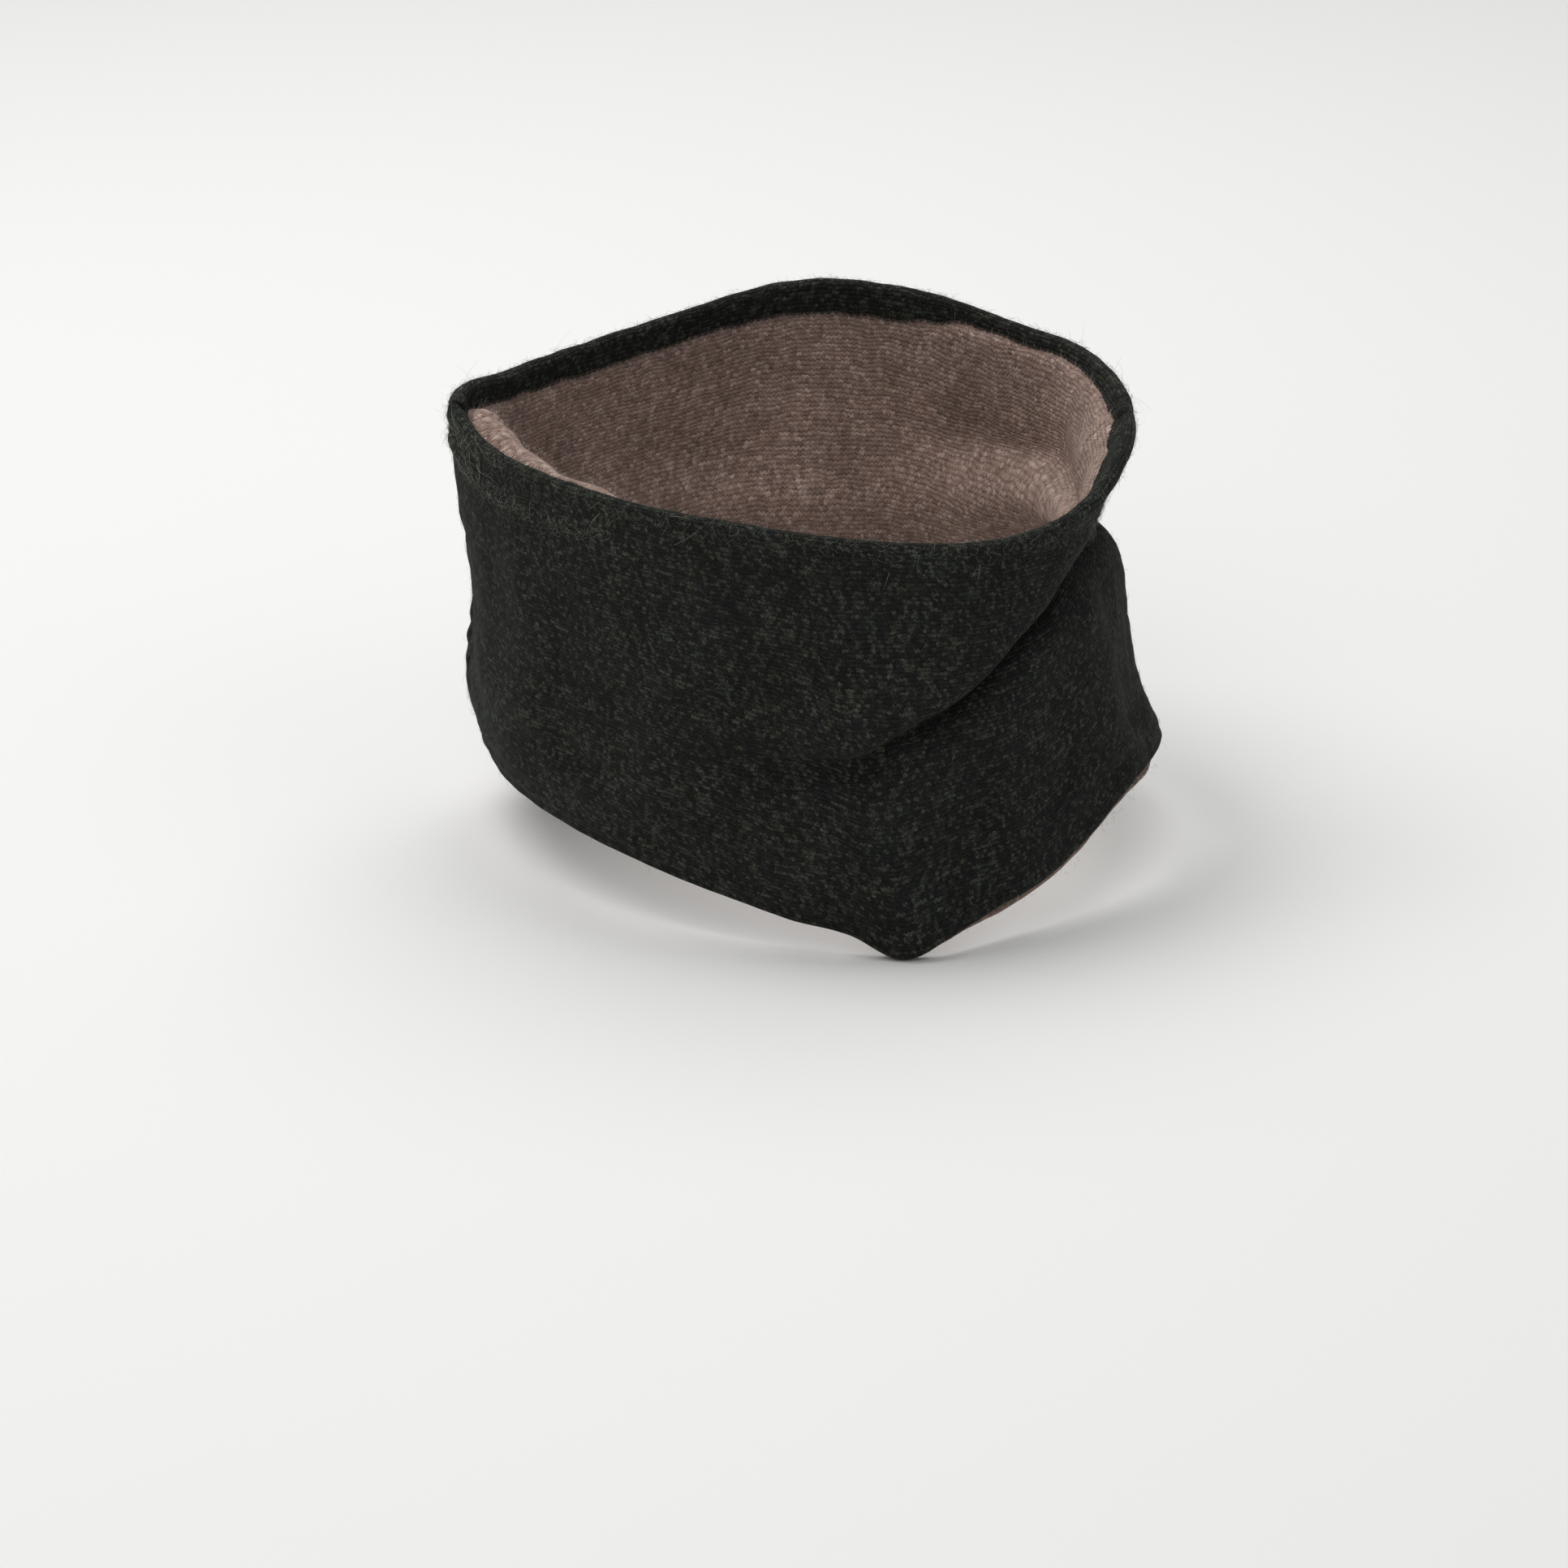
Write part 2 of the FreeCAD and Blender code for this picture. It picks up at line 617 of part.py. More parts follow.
def care_label():
    """small blank label inside the tube, just behind the left side seam"""
    body = doc.addObject("PartDesign::Body", "care_label")
    body.Label = "care_label"
    sketch = body.newObject("Sketcher::SketchObject", "label_outline")
    plane = [f for f in body.Origin.OriginFeatures if f.Role == "XY_Plane"][0]
    sketch.AttachmentSupport = [(plane, "")]
    sketch.MapMode = "FlatFace"
    wide, tall = dim("label_wide"), dim("label_tall")
    corners = [Vector(x * wide / 2, y * tall / 2, 0)
               for x, y in ((-1, -1), (1, -1), (1, 1), (-1, 1))]
    for i in range(4):
        sketch.addGeometry(Part.LineSegment(corners[i], corners[(i + 1) % 4]), False)

    def constrain(*terms):
        return sketch.addConstraint(Sketcher.Constraint(*terms))

    for i in range(4):
        constrain("Coincident", i, 2, (i + 1) % 4, 1)
    for kind, line in (("Horizontal", 0), ("Horizontal", 2), ("Vertical", 1), ("Vertical", 3)):
        constrain(kind, line)
    constrain("Symmetric", 0, 1, 1, 2, -1, 1)      # centred on the origin
    wide_index = constrain("DistanceX", 0, 1, 0, 2, wide)
    tall_index = constrain("DistanceY", 1, 1, 1, 2, tall)
    sketch.setExpression("Constraints[%d]" % wide_index, "Dimensions.label_wide")
    sketch.setExpression("Constraints[%d]" % tall_index, "Dimensions.label_tall")
    pad = body.newObject("PartDesign::Pad", "label_pad")
    pad.Profile = sketch
    pad.setExpression("Length", "Dimensions.label_thick")
    doc.recompute()
    body.Placement = label_placement(pad.Shape.CenterOfMass)
    return body


# -------------------------------------------------------------------- build
SHAPES = {
    "outer_front_panel": panel(0.0, 180.0, outer_rows, place),
    "outer_back_panel": panel(180.0, 360.0, outer_rows, place),
    "lining_front_panel": panel(0.0, 180.0, lining_rows, lining_place),
    "lining_back_panel": panel(180.0, 360.0, lining_rows, lining_place),
    "outer_left_seam_thread": outer_side_yarn(0.0),
    "outer_right_seam_thread": outer_side_yarn(180.0),
    "lining_left_seam_thread": lining_side_yarn(0.0),
    "lining_right_seam_thread": lining_side_yarn(180.0),
    "top_edge_seam_thread": loop_yarn(
        lambda angle: facing_at(angle) + SEAM_HALF, THICK - KNIT / 2),
    "bottom_edge_seam_thread": loop_yarn(
        lambda angle: height(angle) - dim("hem_thread_up"), ROLL),
}
pieces = []
for name, shape in SHAPES.items():
    piece = doc.addObject("Part::Feature", name)
    piece.Label = name
    piece.Shape = shape
    pieces.append(piece)
pieces.append(care_label())
doc.recompute()

# --------------------------------------------------------- check and export
for item in doc.Objects:
    if any(state in ("Invalid", "Error") for state in item.State):
        raise RuntimeError("%s failed: %s" % (item.Name, item.State))
for piece in pieces:
    if piece.Shape.isNull() or not piece.Shape.isValid() or not piece.Shape.Solids:
        raise RuntimeError("%s has no valid solid" % piece.Label)

os.makedirs("parts", exist_ok=True)
for piece in pieces:
    piece.Shape.exportStep("parts/%s.step" % piece.Label)
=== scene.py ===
"""A two-layer knitted tube for the neck: dark wool outside, pale wool lining inside.

It stands on its hem with z up.  Angle 0 is the left side seam (-x), 90 the front (-y),
180 the right side seam (+x) and 270 the back (+y).  The outer cloth runs from the hem up to the
rim, rolls over it and ends inside as a narrow facing; the lining starts under the facing and
stands in towards the neck.  Shapes are worked out in millimetres and built in metres.

Most shapes are given by two cloth coordinates: the angle, and "down", the length of cloth below
the rim (below zero it goes round the rim roll).  Depth is measured in from the outer face.
"""
import math

import bpy
import numpy as np
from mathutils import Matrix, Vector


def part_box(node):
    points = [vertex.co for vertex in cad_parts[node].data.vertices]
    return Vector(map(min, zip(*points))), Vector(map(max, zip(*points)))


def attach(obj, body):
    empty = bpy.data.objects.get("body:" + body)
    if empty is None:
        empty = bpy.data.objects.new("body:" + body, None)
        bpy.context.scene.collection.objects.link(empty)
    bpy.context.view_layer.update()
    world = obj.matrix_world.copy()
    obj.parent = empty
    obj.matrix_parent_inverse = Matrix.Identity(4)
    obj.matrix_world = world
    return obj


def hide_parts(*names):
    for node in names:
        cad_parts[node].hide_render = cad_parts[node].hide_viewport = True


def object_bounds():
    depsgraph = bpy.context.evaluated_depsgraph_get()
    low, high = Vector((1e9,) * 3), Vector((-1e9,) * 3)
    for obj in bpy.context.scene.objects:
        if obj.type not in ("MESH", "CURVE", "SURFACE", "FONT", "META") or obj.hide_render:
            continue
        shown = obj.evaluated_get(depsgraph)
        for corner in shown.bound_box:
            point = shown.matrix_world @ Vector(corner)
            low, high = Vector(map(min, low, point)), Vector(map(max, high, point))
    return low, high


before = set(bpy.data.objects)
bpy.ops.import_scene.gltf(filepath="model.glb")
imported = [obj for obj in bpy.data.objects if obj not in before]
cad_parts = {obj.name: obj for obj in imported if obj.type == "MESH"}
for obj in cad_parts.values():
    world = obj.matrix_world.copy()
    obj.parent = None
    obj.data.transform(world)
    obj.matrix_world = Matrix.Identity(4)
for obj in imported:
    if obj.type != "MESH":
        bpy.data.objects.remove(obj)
CAD_LO, CAD_HI = [[float(c) for c in p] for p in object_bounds()]

# ---------------------------------------------------------------- shape tables, mm
# angle, rim x, y, z, hem x, y, z
STATIONS = [
    (0, -106.5, -2, 134.6, -97.3, 3, 23.6),
    (8, -102.5, -14, 130.6, -94.43, -11.66, 24.1),
    (16, -96.16, -25.35, 127.76, -89.18, -27.94, 24.35),
    (25, -88, -36.42, 126.62, -79.81, -43.66, 23.36),
    (35, -77.67, -47.35, 125.98, -66.73, -59.02, 21.59),
    (45, -66, -57, 125.3, -52, -72.5, 19.66),
    (55, -52.97, -64.72, 124.08, -35.86, -82.84, 16.55),
    (65, -38.78, -70.99, 123.09, -19.09, -90.66, 13.07),
    (75, -24, -76, 122.23, -2, -97, 9.66),
    (83, -12.23, -78.87, 121.25, 12.06, -101.41, 7.02),
    (88, -4.92, -80.12, 120.59, 20.95, -103.44, 2.31),
    (92, 0.92, -80.81, 120.07, 28, -104.3, 1.91),
    (96, 6.77, -81.23, 119.49, 34.28, -103.07, 4.3),
    (101, 14.1, -81.31, 118.71, 41.04, -99.01, 6.8),
    (110, 27.41, -80.11, 117.39, 52.09, -90.3, 9.11),
    (120, 42, -76.5, 115.79, 64, -81, 12.56),
    (130, 55.68, -70.23, 115.32, 75.23, -69.49, 17.83),
    (140, 67.89, -61.01, 115.86, 85.48, -56.24, 24.66),
    (150, 78, -49, 118.19, 94, -42.5, 29.42),
    (158, 84.11, -37.68, 121.19, 98.84, -31.57, 30.1),
    (166, 88.45, -24.8, 125.06, 101.76, -19.34, 30.82),
    (174, 91, -10.63, 128.06, 102.71, -5.03, 31.08),
    (182, 91.53, 3.41, 129.83, 101.48, 9.55, 30.4),
    (190, 89.93, 16.35, 131.63, 98.06, 23.03, 29.36),
    (200, 85.44, 31.4, 133.95, 91.34, 38.73, 27.77),
    (210, 78.6, 45, 135.57, 82, 53, 26.1),
    (220, 69.51, 56.27, 136.21, 69.82, 64.92, 24.68),
    (232, 55.16, 66.67, 138.62, 53, 76.14, 23.45),
    (244, 38.23, 74.27, 142.58, 34.77, 83.42, 22.7),
    (256, 20.5, 79.3, 145.19, 15.35, 86.65, 22.39),
    (268, 2.16, 81.05, 145.88, -4.65, 86.82, 22.53),
    (280, -17.09, 79.27, 144.07, -24.69, 83.18, 23.11),
    (292, -35.55, 74.08, 139.58, -44.52, 75.71, 23.78),
    (304, -52.55, 66.05, 136.24, -62.77, 65.21, 24.41),
    (316, -68.23, 55.52, 133.93, -78.19, 50.51, 24.81),
    (328, -81.91, 42.4, 133.09, -90.45, 31.62, 24.65),
    (340, -93.66, 27.26, 133.09, -97.19, 20.16, 24.31),
    (350, -101.95, 13.46, 134.95, -98.68, 13.71, 23.82),
]
# angle, swell out of the straight rim-to-hem line at 1/5, 2/5, 3/5 and 4/5 of the way down
SWELL = [
    (0, 0.2, -0.8, 0.4, 3.6), (20, 0.6, 0.4, 1, 1.8), (40, 1.8, 2.4, 2.4, 1.2),
    (60, 3, 4.4, 3.8, 1.6), (80, 4, 5.6, 4.4, 2), (100, 3.6, 4.6, 3.2, 1.5),
    (115, 2, 1.8, 1.2, 0.8), (130, -1.5, -1.5, -1.6, -0.6), (145, -7.5, -4.8, -4, -2),
    (158, -12.4, -8, -5.6, -4), (172, -13.8, -8.8, -6.4, -5.4), (186, -12.4, -8.4, -6.6, -5.2),
    (200, -8.5, -6.8, -6, -4), (225, -3, -5, -5, -2.5), (250, -1.5, -4.5, -4.5, -1.5),
    (275, -1, -4.5, -3.5, -0.5), (300, -1, -3.5, -2, 1.5), (325, -0.5, -2, 0.4, 2.8),
    (345, 0, -1.2, 0.8, 3.8),
]
# the slouch fold: angle, share of the way down, how fully it is folded
FOLD = [
    (40, 0.6, 0), (52, 0.6, 0), (62, 0.62, 0.05), (70, 0.607, 0.2), (76, 0.59, 0.4),
    (84, 0.552, 0.62), (93.3, 0.505, 0.82), (101.2, 0.465, 0.95), (109.2, 0.43, 1),
    (117, 0.376, 1), (122.5, 0.335, 1), (128, 0.296, 1), (134.4, 0.26, 1), (140, 0.23, 1),
    (146, 0.212, 1), (153, 0.218, 1), (160, 0.242, 1), (168, 0.276, 1), (180, 0.318, 1),
    (195, 0.355, 0.85), (210, 0.38, 0.6), (225, 0.4, 0.35), (240, 0.42, 0.12), (252, 0.43, 0),
    (300, 0.5, 0),
]
# shallow folds: (angle, share of the way down), (angle, height), half width, gain on the height
SOFT_FOLDS = [
    ([(35, 0.62), (44, 0.587), (52.4, 0.54), (61, 0.486), (68.6, 0.437), (76, 0.388),
      (83.4, 0.342), (91, 0.3), (98.4, 0.281), (115, 0.27)],
     [(34, 0), (48, -1.3), (62, -2.6), (78, -2.8), (92, -1.9), (101, -0.7), (110, 0)], 8, 1.15),
    ([(0, 0.69), (14.5, 0.683), (27.7, 0.668), (37.2, 0.685), (44.9, 0.728), (60, 0.76)],
     [(2, 0), (14, 1.0), (30, 1.5), (44, 1.3), (60, 0)], 7, 1.15),
    ([(120, 0.755), (129, 0.763), (139.4, 0.78), (157.4, 0.82), (172, 0.84)],
     [(120, 0), (131, -1.0), (142, -1.6), (158, -1.4), (174, 0)], 5.625, 1.45),
    ([(128, 0.85), (137.3, 0.863), (146.3, 0.904), (157.5, 0.94), (172, 0.96)],
     [(131, 0), (141, -1.0), (150, -1.4), (160, -1.2), (174, 0)], 4.375, 1.45),
    ([(225, 0.6), (250, 0.6), (270, 0.57), (290, 0.53), (310, 0.5), (335, 0.47)],
     [(222, 0), (245, -1.8), (265, -3.4), (288, -3.6), (308, -2.4), (332, 0)], 11, 1.15),
    ([(225, 0.78), (250, 0.77), (270, 0.76), (290, 0.72), (310, 0.68)],
     [(228, 0), (250, 1.6), (272, 2.4), (295, 1.8), (318, 0)], 10, 1.15),
]
# The tables below hold (angle, value) pairs.
# how far the facing reaches down inside
FACING = [(0, 4), (8, 4.2), (20, 4.4), (45, 4.2), (90, 4.2), (135, 4.2), (160, 4.6), (172, 4.4),
          (182, 3.4), (194, 2.6), (206, 1.4), (236, 1.5), (246, 5.4), (256, 6.6), (270, 6.2),
          (300, 5.4), (330, 4.8), (345, 4.4)]
# how far the lining stands in below the facing
SLACK = [(0, 11.5), (8, 14.5), (20, 15.8), (35, 14.6), (50, 12.0), (65, 9.5), (85, 6.5),
         (105, 3.6), (125, 1.4), (150, 0.2), (170, 1.2), (186, 1.8), (205, 1.6), (222, 2.6),
         (236, 2.4), (250, 0.2), (300, 0.0), (335, 0.6), (349, 3.6)]
# how far that pillow is raised
LIFT = [(0, 4.8), (8, 6.4), (20, 7.8), (40, 7.0), (55, 5.8), (70, 4.2), (90, 2.2), (115, 1.0),
        (140, 0.4), (160, 0.4), (186, 1.2), (205, 1.0), (222, 2.0), (236, 1.6), (250, 0.0),
        (335, 0.0), (349, 1.4)]
# a second, lower fullness of the lining: its reach, and its share of the way down
LEDGE = [(0, 4.0), (20, 1.5), (50, 0.0), (145, 0.0), (163, 2.0), (180, 6.0), (200, 10.0),
         (222, 11.5), (245, 7.0), (270, 5.0), (300, 8.0), (322, 11.0), (340, 9.0)]
LEDGE_AT = [(0, 0.60), (60, 0.60), (150, 0.42), (180, 0.42), (200, 0.45), (225, 0.49),
            (250, 0.54), (280, 0.57), (310, 0.56), (335, 0.58)]
# how much shorter the outer cloth is than the lining at the hem
SHORT = [(0, 0.0), (86, 0.0), (100, 1.6), (112, 3.0), (135, 3.3), (156, 2.8), (174, 0.6),
         (188, 0.0), (300, 0.0)]
# wearing marks of the outer face
BACK_FOLDS = [(0, 0.0), (192, 0.0), (222, 1.0), (318, 1.0), (342, 0.0)]
HEM_RIDGE = [(0, 0.30), (40, 0.55), (85, 0.65), (108, 0.5), (135, 0.35), (180, 0.3), (270, 0.4)]
RIM_RIDGE = [(8, 0.9), (22, 1.15), (38, 0.8), (60, 0.35), (95, 0.15), (135, 0.25), (158, 0.6),
             (178, 0.7), (200, 0.2), (260, 0.2), (340, 0.0), (350, 0.0)]
RIM_RIDGE_DROP = [(0, 0.0), (30, 1.0), (60, 0.5), (160, 1.0), (300, 0)]

KNIT = 2.1                      # one layer of cloth
SPACE = 0.5                     # air between the outer cloth and its facing
THICK = 2 * KNIT + SPACE        # the rolled rim right through
ROLL = THICK / 2                # radius of the rim roll
HEM_PINCH = 0.45                # both layers are thinner by this at the hem
NECK_CENTRE = (-8.0, 0.0)       # the lining leans towards this x, y
MEAN_LENGTH = 116.0             # knit rows are laid out over this length of cloth
FOLD_SOFTNESS = 0.12            # 0 is a sharp slouch fold, 1 a soft one
LEAST_FOLD = 0.004              # below this share there is no fold
COLUMN_STEPS = 420
HALF_TURN = np.linspace(0, math.pi, 8)[1:-1][None]     # round an edge of the cloth
PANEL_COLUMNS, OUTER_ROWS, LINING_ROWS = 256, 132, 150


# ---------------------------------------------------------------- curves
def smooth_step(x):
    return x * x * (3 - 2 * x)


def ramp(x):
    """smooth step that stays at 0 and 1 outside its range"""
    return smooth_step(np.clip(x, 0, 1))


def bump(x, width):
    return np.exp(-(x / width) ** 2)


def unit(vectors, tiny=0.0):
    return vectors / (np.linalg.norm(vectors, axis=-1, keepdims=True) + tiny)


def cubic(near, y0, y1, bend0, bend1, step):
    """one spline interval; near is 1 at its start and 0 at its end, bends are second slopes"""
    far = 1 - near
    return (near * y0 + far * y1
            + ((near ** 3 - near) * bend0 + (far ** 3 - far) * bend1) * step * step / 6)


def closed_spline(pairs):
    """closed cubic spline through (angle, value) pairs, as a function of an angle array"""
    knots = np.array([p[0] for p in pairs], float)
    values = np.array([p[1] for p in pairs], float)
    n = len(knots)
    gaps = np.append(np.diff(knots), knots[0] + 360.0 - knots[-1])
    matrix = np.zeros((n, n))
    target = np.zeros(n)
    for i in range(n):
        j = (i + 1) % n
        matrix[i, i - 1] += gaps[i - 1]
        matrix[i, i] += 2 * (gaps[i - 1] + gaps[i])
        matrix[i, j] += gaps[i]
        target[i] = 6 * ((values[j] - values[i]) / gaps[i]
                         - (values[i] - values[i - 1]) / gaps[i - 1])
    bends = np.linalg.solve(matrix, target)

    def value(x):
        x = (np.asarray(x, float) - knots[0]) % 360.0 + knots[0]
        i = np.clip(np.searchsorted(knots, x, side="right") - 1, 0, n - 1)
        j = (i + 1) % n
        near = (knots[i] + gaps[i] - x) / gaps[i]
        return cubic(near, values[i], values[j], bends[i], bends[j], gaps[i])
    return value


def ease(pairs, x):
    """smooth steps between (angle, value) pairs, closed"""
    knots = np.array([p[0] for p in pairs], float)
    values = np.array([p[1] for p in pairs], float)
    knots = np.r_[knots[-1] - 360, knots, knots[0] + 360]
    values = np.r_[values[-1], values, values[0]]
    x = np.asarray(x, float) % 360
    i = np.clip(np.searchsorted(knots, x, side="right") - 1, 0, len(knots) - 2)
    share = smooth_step((x - knots[i]) / (knots[i + 1] - knots[i]))
    return values[i] * (1 - share) + values[i + 1] * share


SWELL_STEP = 0.2        # spacing of the swell values down the cloth


def swell_bases():
    """natural splines that are 1 at one of the four inner knots and 0 at the others"""
    step = SWELL_STEP
    matrix = np.eye(6)
    for i in range(1, 5):
        matrix[i] = 0
        matrix[i, i - 1], matrix[i, i], matrix[i, i + 1] = step, 4 * step, step
    bases = []
    for k in range(1, 5):
        y = np.zeros(6)
        y[k] = 1
        target = np.zeros(6)
        for i in range(1, 5):
            target[i] = 6 * ((y[i + 1] - y[i]) / step - (y[i] - y[i - 1]) / step)
        bases.append((y, np.linalg.solve(matrix, target)))
    return bases


def swell_shape(base, share):
    y, bends = base
    i = np.clip((share / SWELL_STEP).astype(int), 0, 4)
    near = ((i + 1) * SWELL_STEP - share) / SWELL_STEP
    return cubic(near, y[i], y[i + 1], bends[i], bends[i + 1], SWELL_STEP)


EDGES = [closed_spline([(row[0], row[k]) for row in STATIONS]) for k in range(1, 7)]
SWELLS = [(closed_spline([(row[0], row[k + 1]) for row in SWELL]), base)
          for k, base in enumerate(swell_bases())]
FOLD_AT = closed_spline([(row[0], row[1]) for row in FOLD])
FOLD_SHARE = [(row[0], min(1.0, row[2] ** 0.72)) for row in FOLD]
SOFT_TRACKS = [(closed_spline(track), *rest) for track, *rest in SOFT_FOLDS]


def fold_path(share):
    """side view of the slouch fold: distance down and out, with the crease at 0"""
    soft = FOLD_SOFTNESS
    turn = 2.2 + 4.2 * soft + (1 - share) * 9.0
    lip = 9.0 + 3.0 * soft + (1 - share) * 3.0
    dip = (2.6 * (1 - 0.6 * soft)) * share
    half = turn / 2
    tail = 9.0
    # slopes out of the wall, in degrees, before the fold, into it and out of it
    rise, inward, outward = 12.0, -82.0 + 14 * soft, 56.0 - 10 * soft
    slopes = [slope * share for slope in
              (0, rise, rise * 0.5, inward, inward, outward, outward, 4, -5, 0)]

    def trace(hold):
        stops = [-half - dip - lip - 15, -half - dip - lip - 7, -half - dip - lip, -half - dip,
                 -half, half, half + hold, half + hold + tail, half + hold + tail + 9,
                 half + hold + tail + 15]
        run = np.linspace(stops[0], stops[-1], int((stops[-1] - stops[0]) / 0.2) + 1)
        slope = np.radians(np.interp(run, stops, slopes))
        step = run[1] - run[0]
        sines, cosines = np.sin(slope), np.cos(slope)
        out = np.concatenate([[0], np.cumsum((sines[1:] + sines[:-1]) / 2 * step)])
        down = np.concatenate([[0], np.cumsum((cosines[1:] + cosines[:-1]) / 2 * step)])
        return down - np.interp(0, run, down), out

    # lengthen or shorten the outward run until the path comes back to the wall
    hold = 3.0
    for _ in range(4):
        down, out = trace(hold)
        hold = max(0.0, hold - out[-1] / math.sin(math.radians(outward * share) + 1e-9))
    down, out = trace(hold)
    return down, out - out[-1] * np.linspace(0, 1, len(out))


def wall_column(angle):
    """outer face from the top roll to the hem at one angle, a dense polyline"""
    rim_x, rim_y, rim_z, hem_x, hem_y, hem_z = [float(edge(angle)) for edge in EDGES]
    fold_share = float(ease(FOLD_SHARE, angle))
    fold_at = float(FOLD_AT(angle))
    height = math.sqrt((hem_x - rim_x) ** 2 + (hem_y - rim_y) ** 2 + (hem_z - rim_z) ** 2)
    share = np.linspace(0, 1, COLUMN_STEPS)
    fold = 0
    if fold_share > LEAST_FOLD:
        down, out = fold_path(fold_share)
        stops = fold_at + down / height
        share = np.unique(np.concatenate([share, stops[(stops > 0) & (stops < 1)]]))
        fold = np.interp(share, stops, out, left=0, right=0)
        fold = fold * ramp(share / 0.08) * ramp((1 - share) / 0.08)
    # outward direction: that of an ellipse rather than a circle
    turn = math.radians(angle)
    out_x, out_y = -math.cos(turn) * 84, -math.sin(turn) * 100
    size = math.hypot(out_x, out_y)
    out_x, out_y = out_x / size, out_y / size
    out = sum(float(amount(angle)) * swell_shape(base, share) for amount, base in SWELLS) + ROLL
    for track, depths, width, gain in SOFT_TRACKS:
        amount = float(ease(depths, angle)) * gain
        out = out + (amount * bump((share - float(track(angle))) * height, width)
                     * np.clip(share / 0.1, 0, 1))
    out = out + fold
    return np.stack([rim_x + (hem_x - rim_x) * share + out_x * out,
                     rim_y + (hem_y - rim_y) * share + out_y * out,
                     rim_z + (hem_z - rim_z) * share], 1)


def column_mix(count, column):
    """the two columns beside a position round a closed net, and the share of the second"""
    whole = np.floor(column).astype(int)
    first = whole % count
    return first, (first + 1) % count, column - whole


def sample_round(values, column):
    first, second, share = column_mix(len(values), column)
    return values[first] * (1 - share) + values[second] * share


def sample(grid, column, row):
    """bilinear lookup in a net that is closed along its first axis"""
    first, second, across = column_mix(len(grid), column)
    top = np.clip(np.floor(row).astype(int), 0, grid.shape[1] - 2)
    across = across[..., None]
    below = (row - top)[..., None]
    return ((grid[first, top] * (1 - across) + grid[second, top] * across) * (1 - below)
            + (grid[first, top + 1] * (1 - across) + grid[second, top + 1] * across) * below)


# ---------------------------------------------------------------- the outer face
class Wall:
    """dense outer face of the cloth, with lookups by angle and by length of cloth"""

    def __init__(self, columns=1080, rows=640):
        self.columns, self.rows = columns, rows
        self.angles = np.arange(columns) * 360.0 / columns
        face = np.zeros((columns, rows, 3))
        self.lengths = np.zeros(columns)
        for i in range(columns):
            line = wall_column(self.angles[i])
            steps = np.linalg.norm(np.diff(line, axis=0), axis=1)
            run = np.r_[0, np.cumsum(steps)]
            self.lengths[i] = run[-1]
            even = np.linspace(0, run[-1], rows)
            face[i] = np.stack([np.interp(even, run, line[:, k]) for k in range(3)], 1)
        self.renew(face)

    def renew(self, face):
        """takes a new face and works out its directions and its girth"""
        self.face = face
        around = np.roll(face, -1, 0) - np.roll(face, 1, 0)
        down = np.gradient(face, axis=1)
        self.outward = unit(np.cross(down, around))
        self.downward = unit(down)
        middle = face[:, self.rows // 3]
        steps = np.linalg.norm(np.roll(middle, -1, 0) - middle, axis=1)
        self.runs = np.r_[0, np.cumsum(steps)]
        self.total = self.runs[-1]

    def girth(self, angle):
        """length round the tube from angle 0"""
        column = np.asarray(angle, float) / 360 * self.columns
        i = np.clip(np.floor(column).astype(int), 0, self.columns - 1)
        return self.runs[i] + (self.runs[i + 1] - self.runs[i]) * (column - i)

    def angle_of(self, girth):
        return np.interp(girth, self.runs, np.arange(self.columns + 1) * 360.0 / self.columns)

    def column_at(self, angle):
        return (np.asarray(angle, float) % 360) / 360 * self.columns

    def length(self, angle):
        return sample_round(self.lengths, self.column_at(angle))

    def at(self, angle, down):
        """point of the face, outward direction and downward direction"""
        angle, down = np.broadcast_arrays(angle, down)
        row = np.clip(down / self.length(angle), 0, 1) * (self.rows - 1)
        column = self.column_at(angle)
        return (sample(self.face, column, row), unit(sample(self.outward, column, row)),
                unit(sample(self.downward, column, row)))

    def place(self, angle, down, depth):
        """point in the cloth; down below 0 goes round the roll"""
        angle, down, depth = np.broadcast_arrays(
            np.asarray(angle, float), np.asarray(down, float), np.asarray(depth, float))
        face, outward, downward = self.at(angle, np.maximum(down, 0))
        turn = np.clip(-np.minimum(down, 0) / ROLL, 0, None)
        radius = ROLL - depth
        rolled = (face - outward * ROLL + outward * (radius * np.cos(turn))[..., None]
                  - downward * (radius * np.sin(turn))[..., None])
        return np.where((down < 0)[..., None], rolled, face - outward * depth[..., None])

    def seam_distances(self, angle):
        """girth distances to the left and to the right side seam"""
        girth = self.girth(np.asarray(angle, float) % 360)
        return np.minimum(girth, self.total - girth), np.abs(girth - self.girth(180.0))


def waves(seed, count, shortest, longest, around, down, period):
    """sum of sines over the cloth with the given range of wave lengths, closed round the tube"""
    rng = np.random.RandomState(seed)
    total = 0
    for _ in range(count):
        length = shortest * (longest / shortest) ** rng.rand()
        heading = rng.rand() * math.pi
        rate_around = math.cos(heading) * 2 * math.pi / length
        rate_down = math.sin(heading) * 2 * math.pi / length
        phase = rng.rand() * 6.28
        closed = round(rate_around * period / (2 * math.pi)) * 2 * math.pi / period
        total = total + np.sin(closed * around + rate_down * down + phase)
    return total / math.sqrt(count / 2.0)


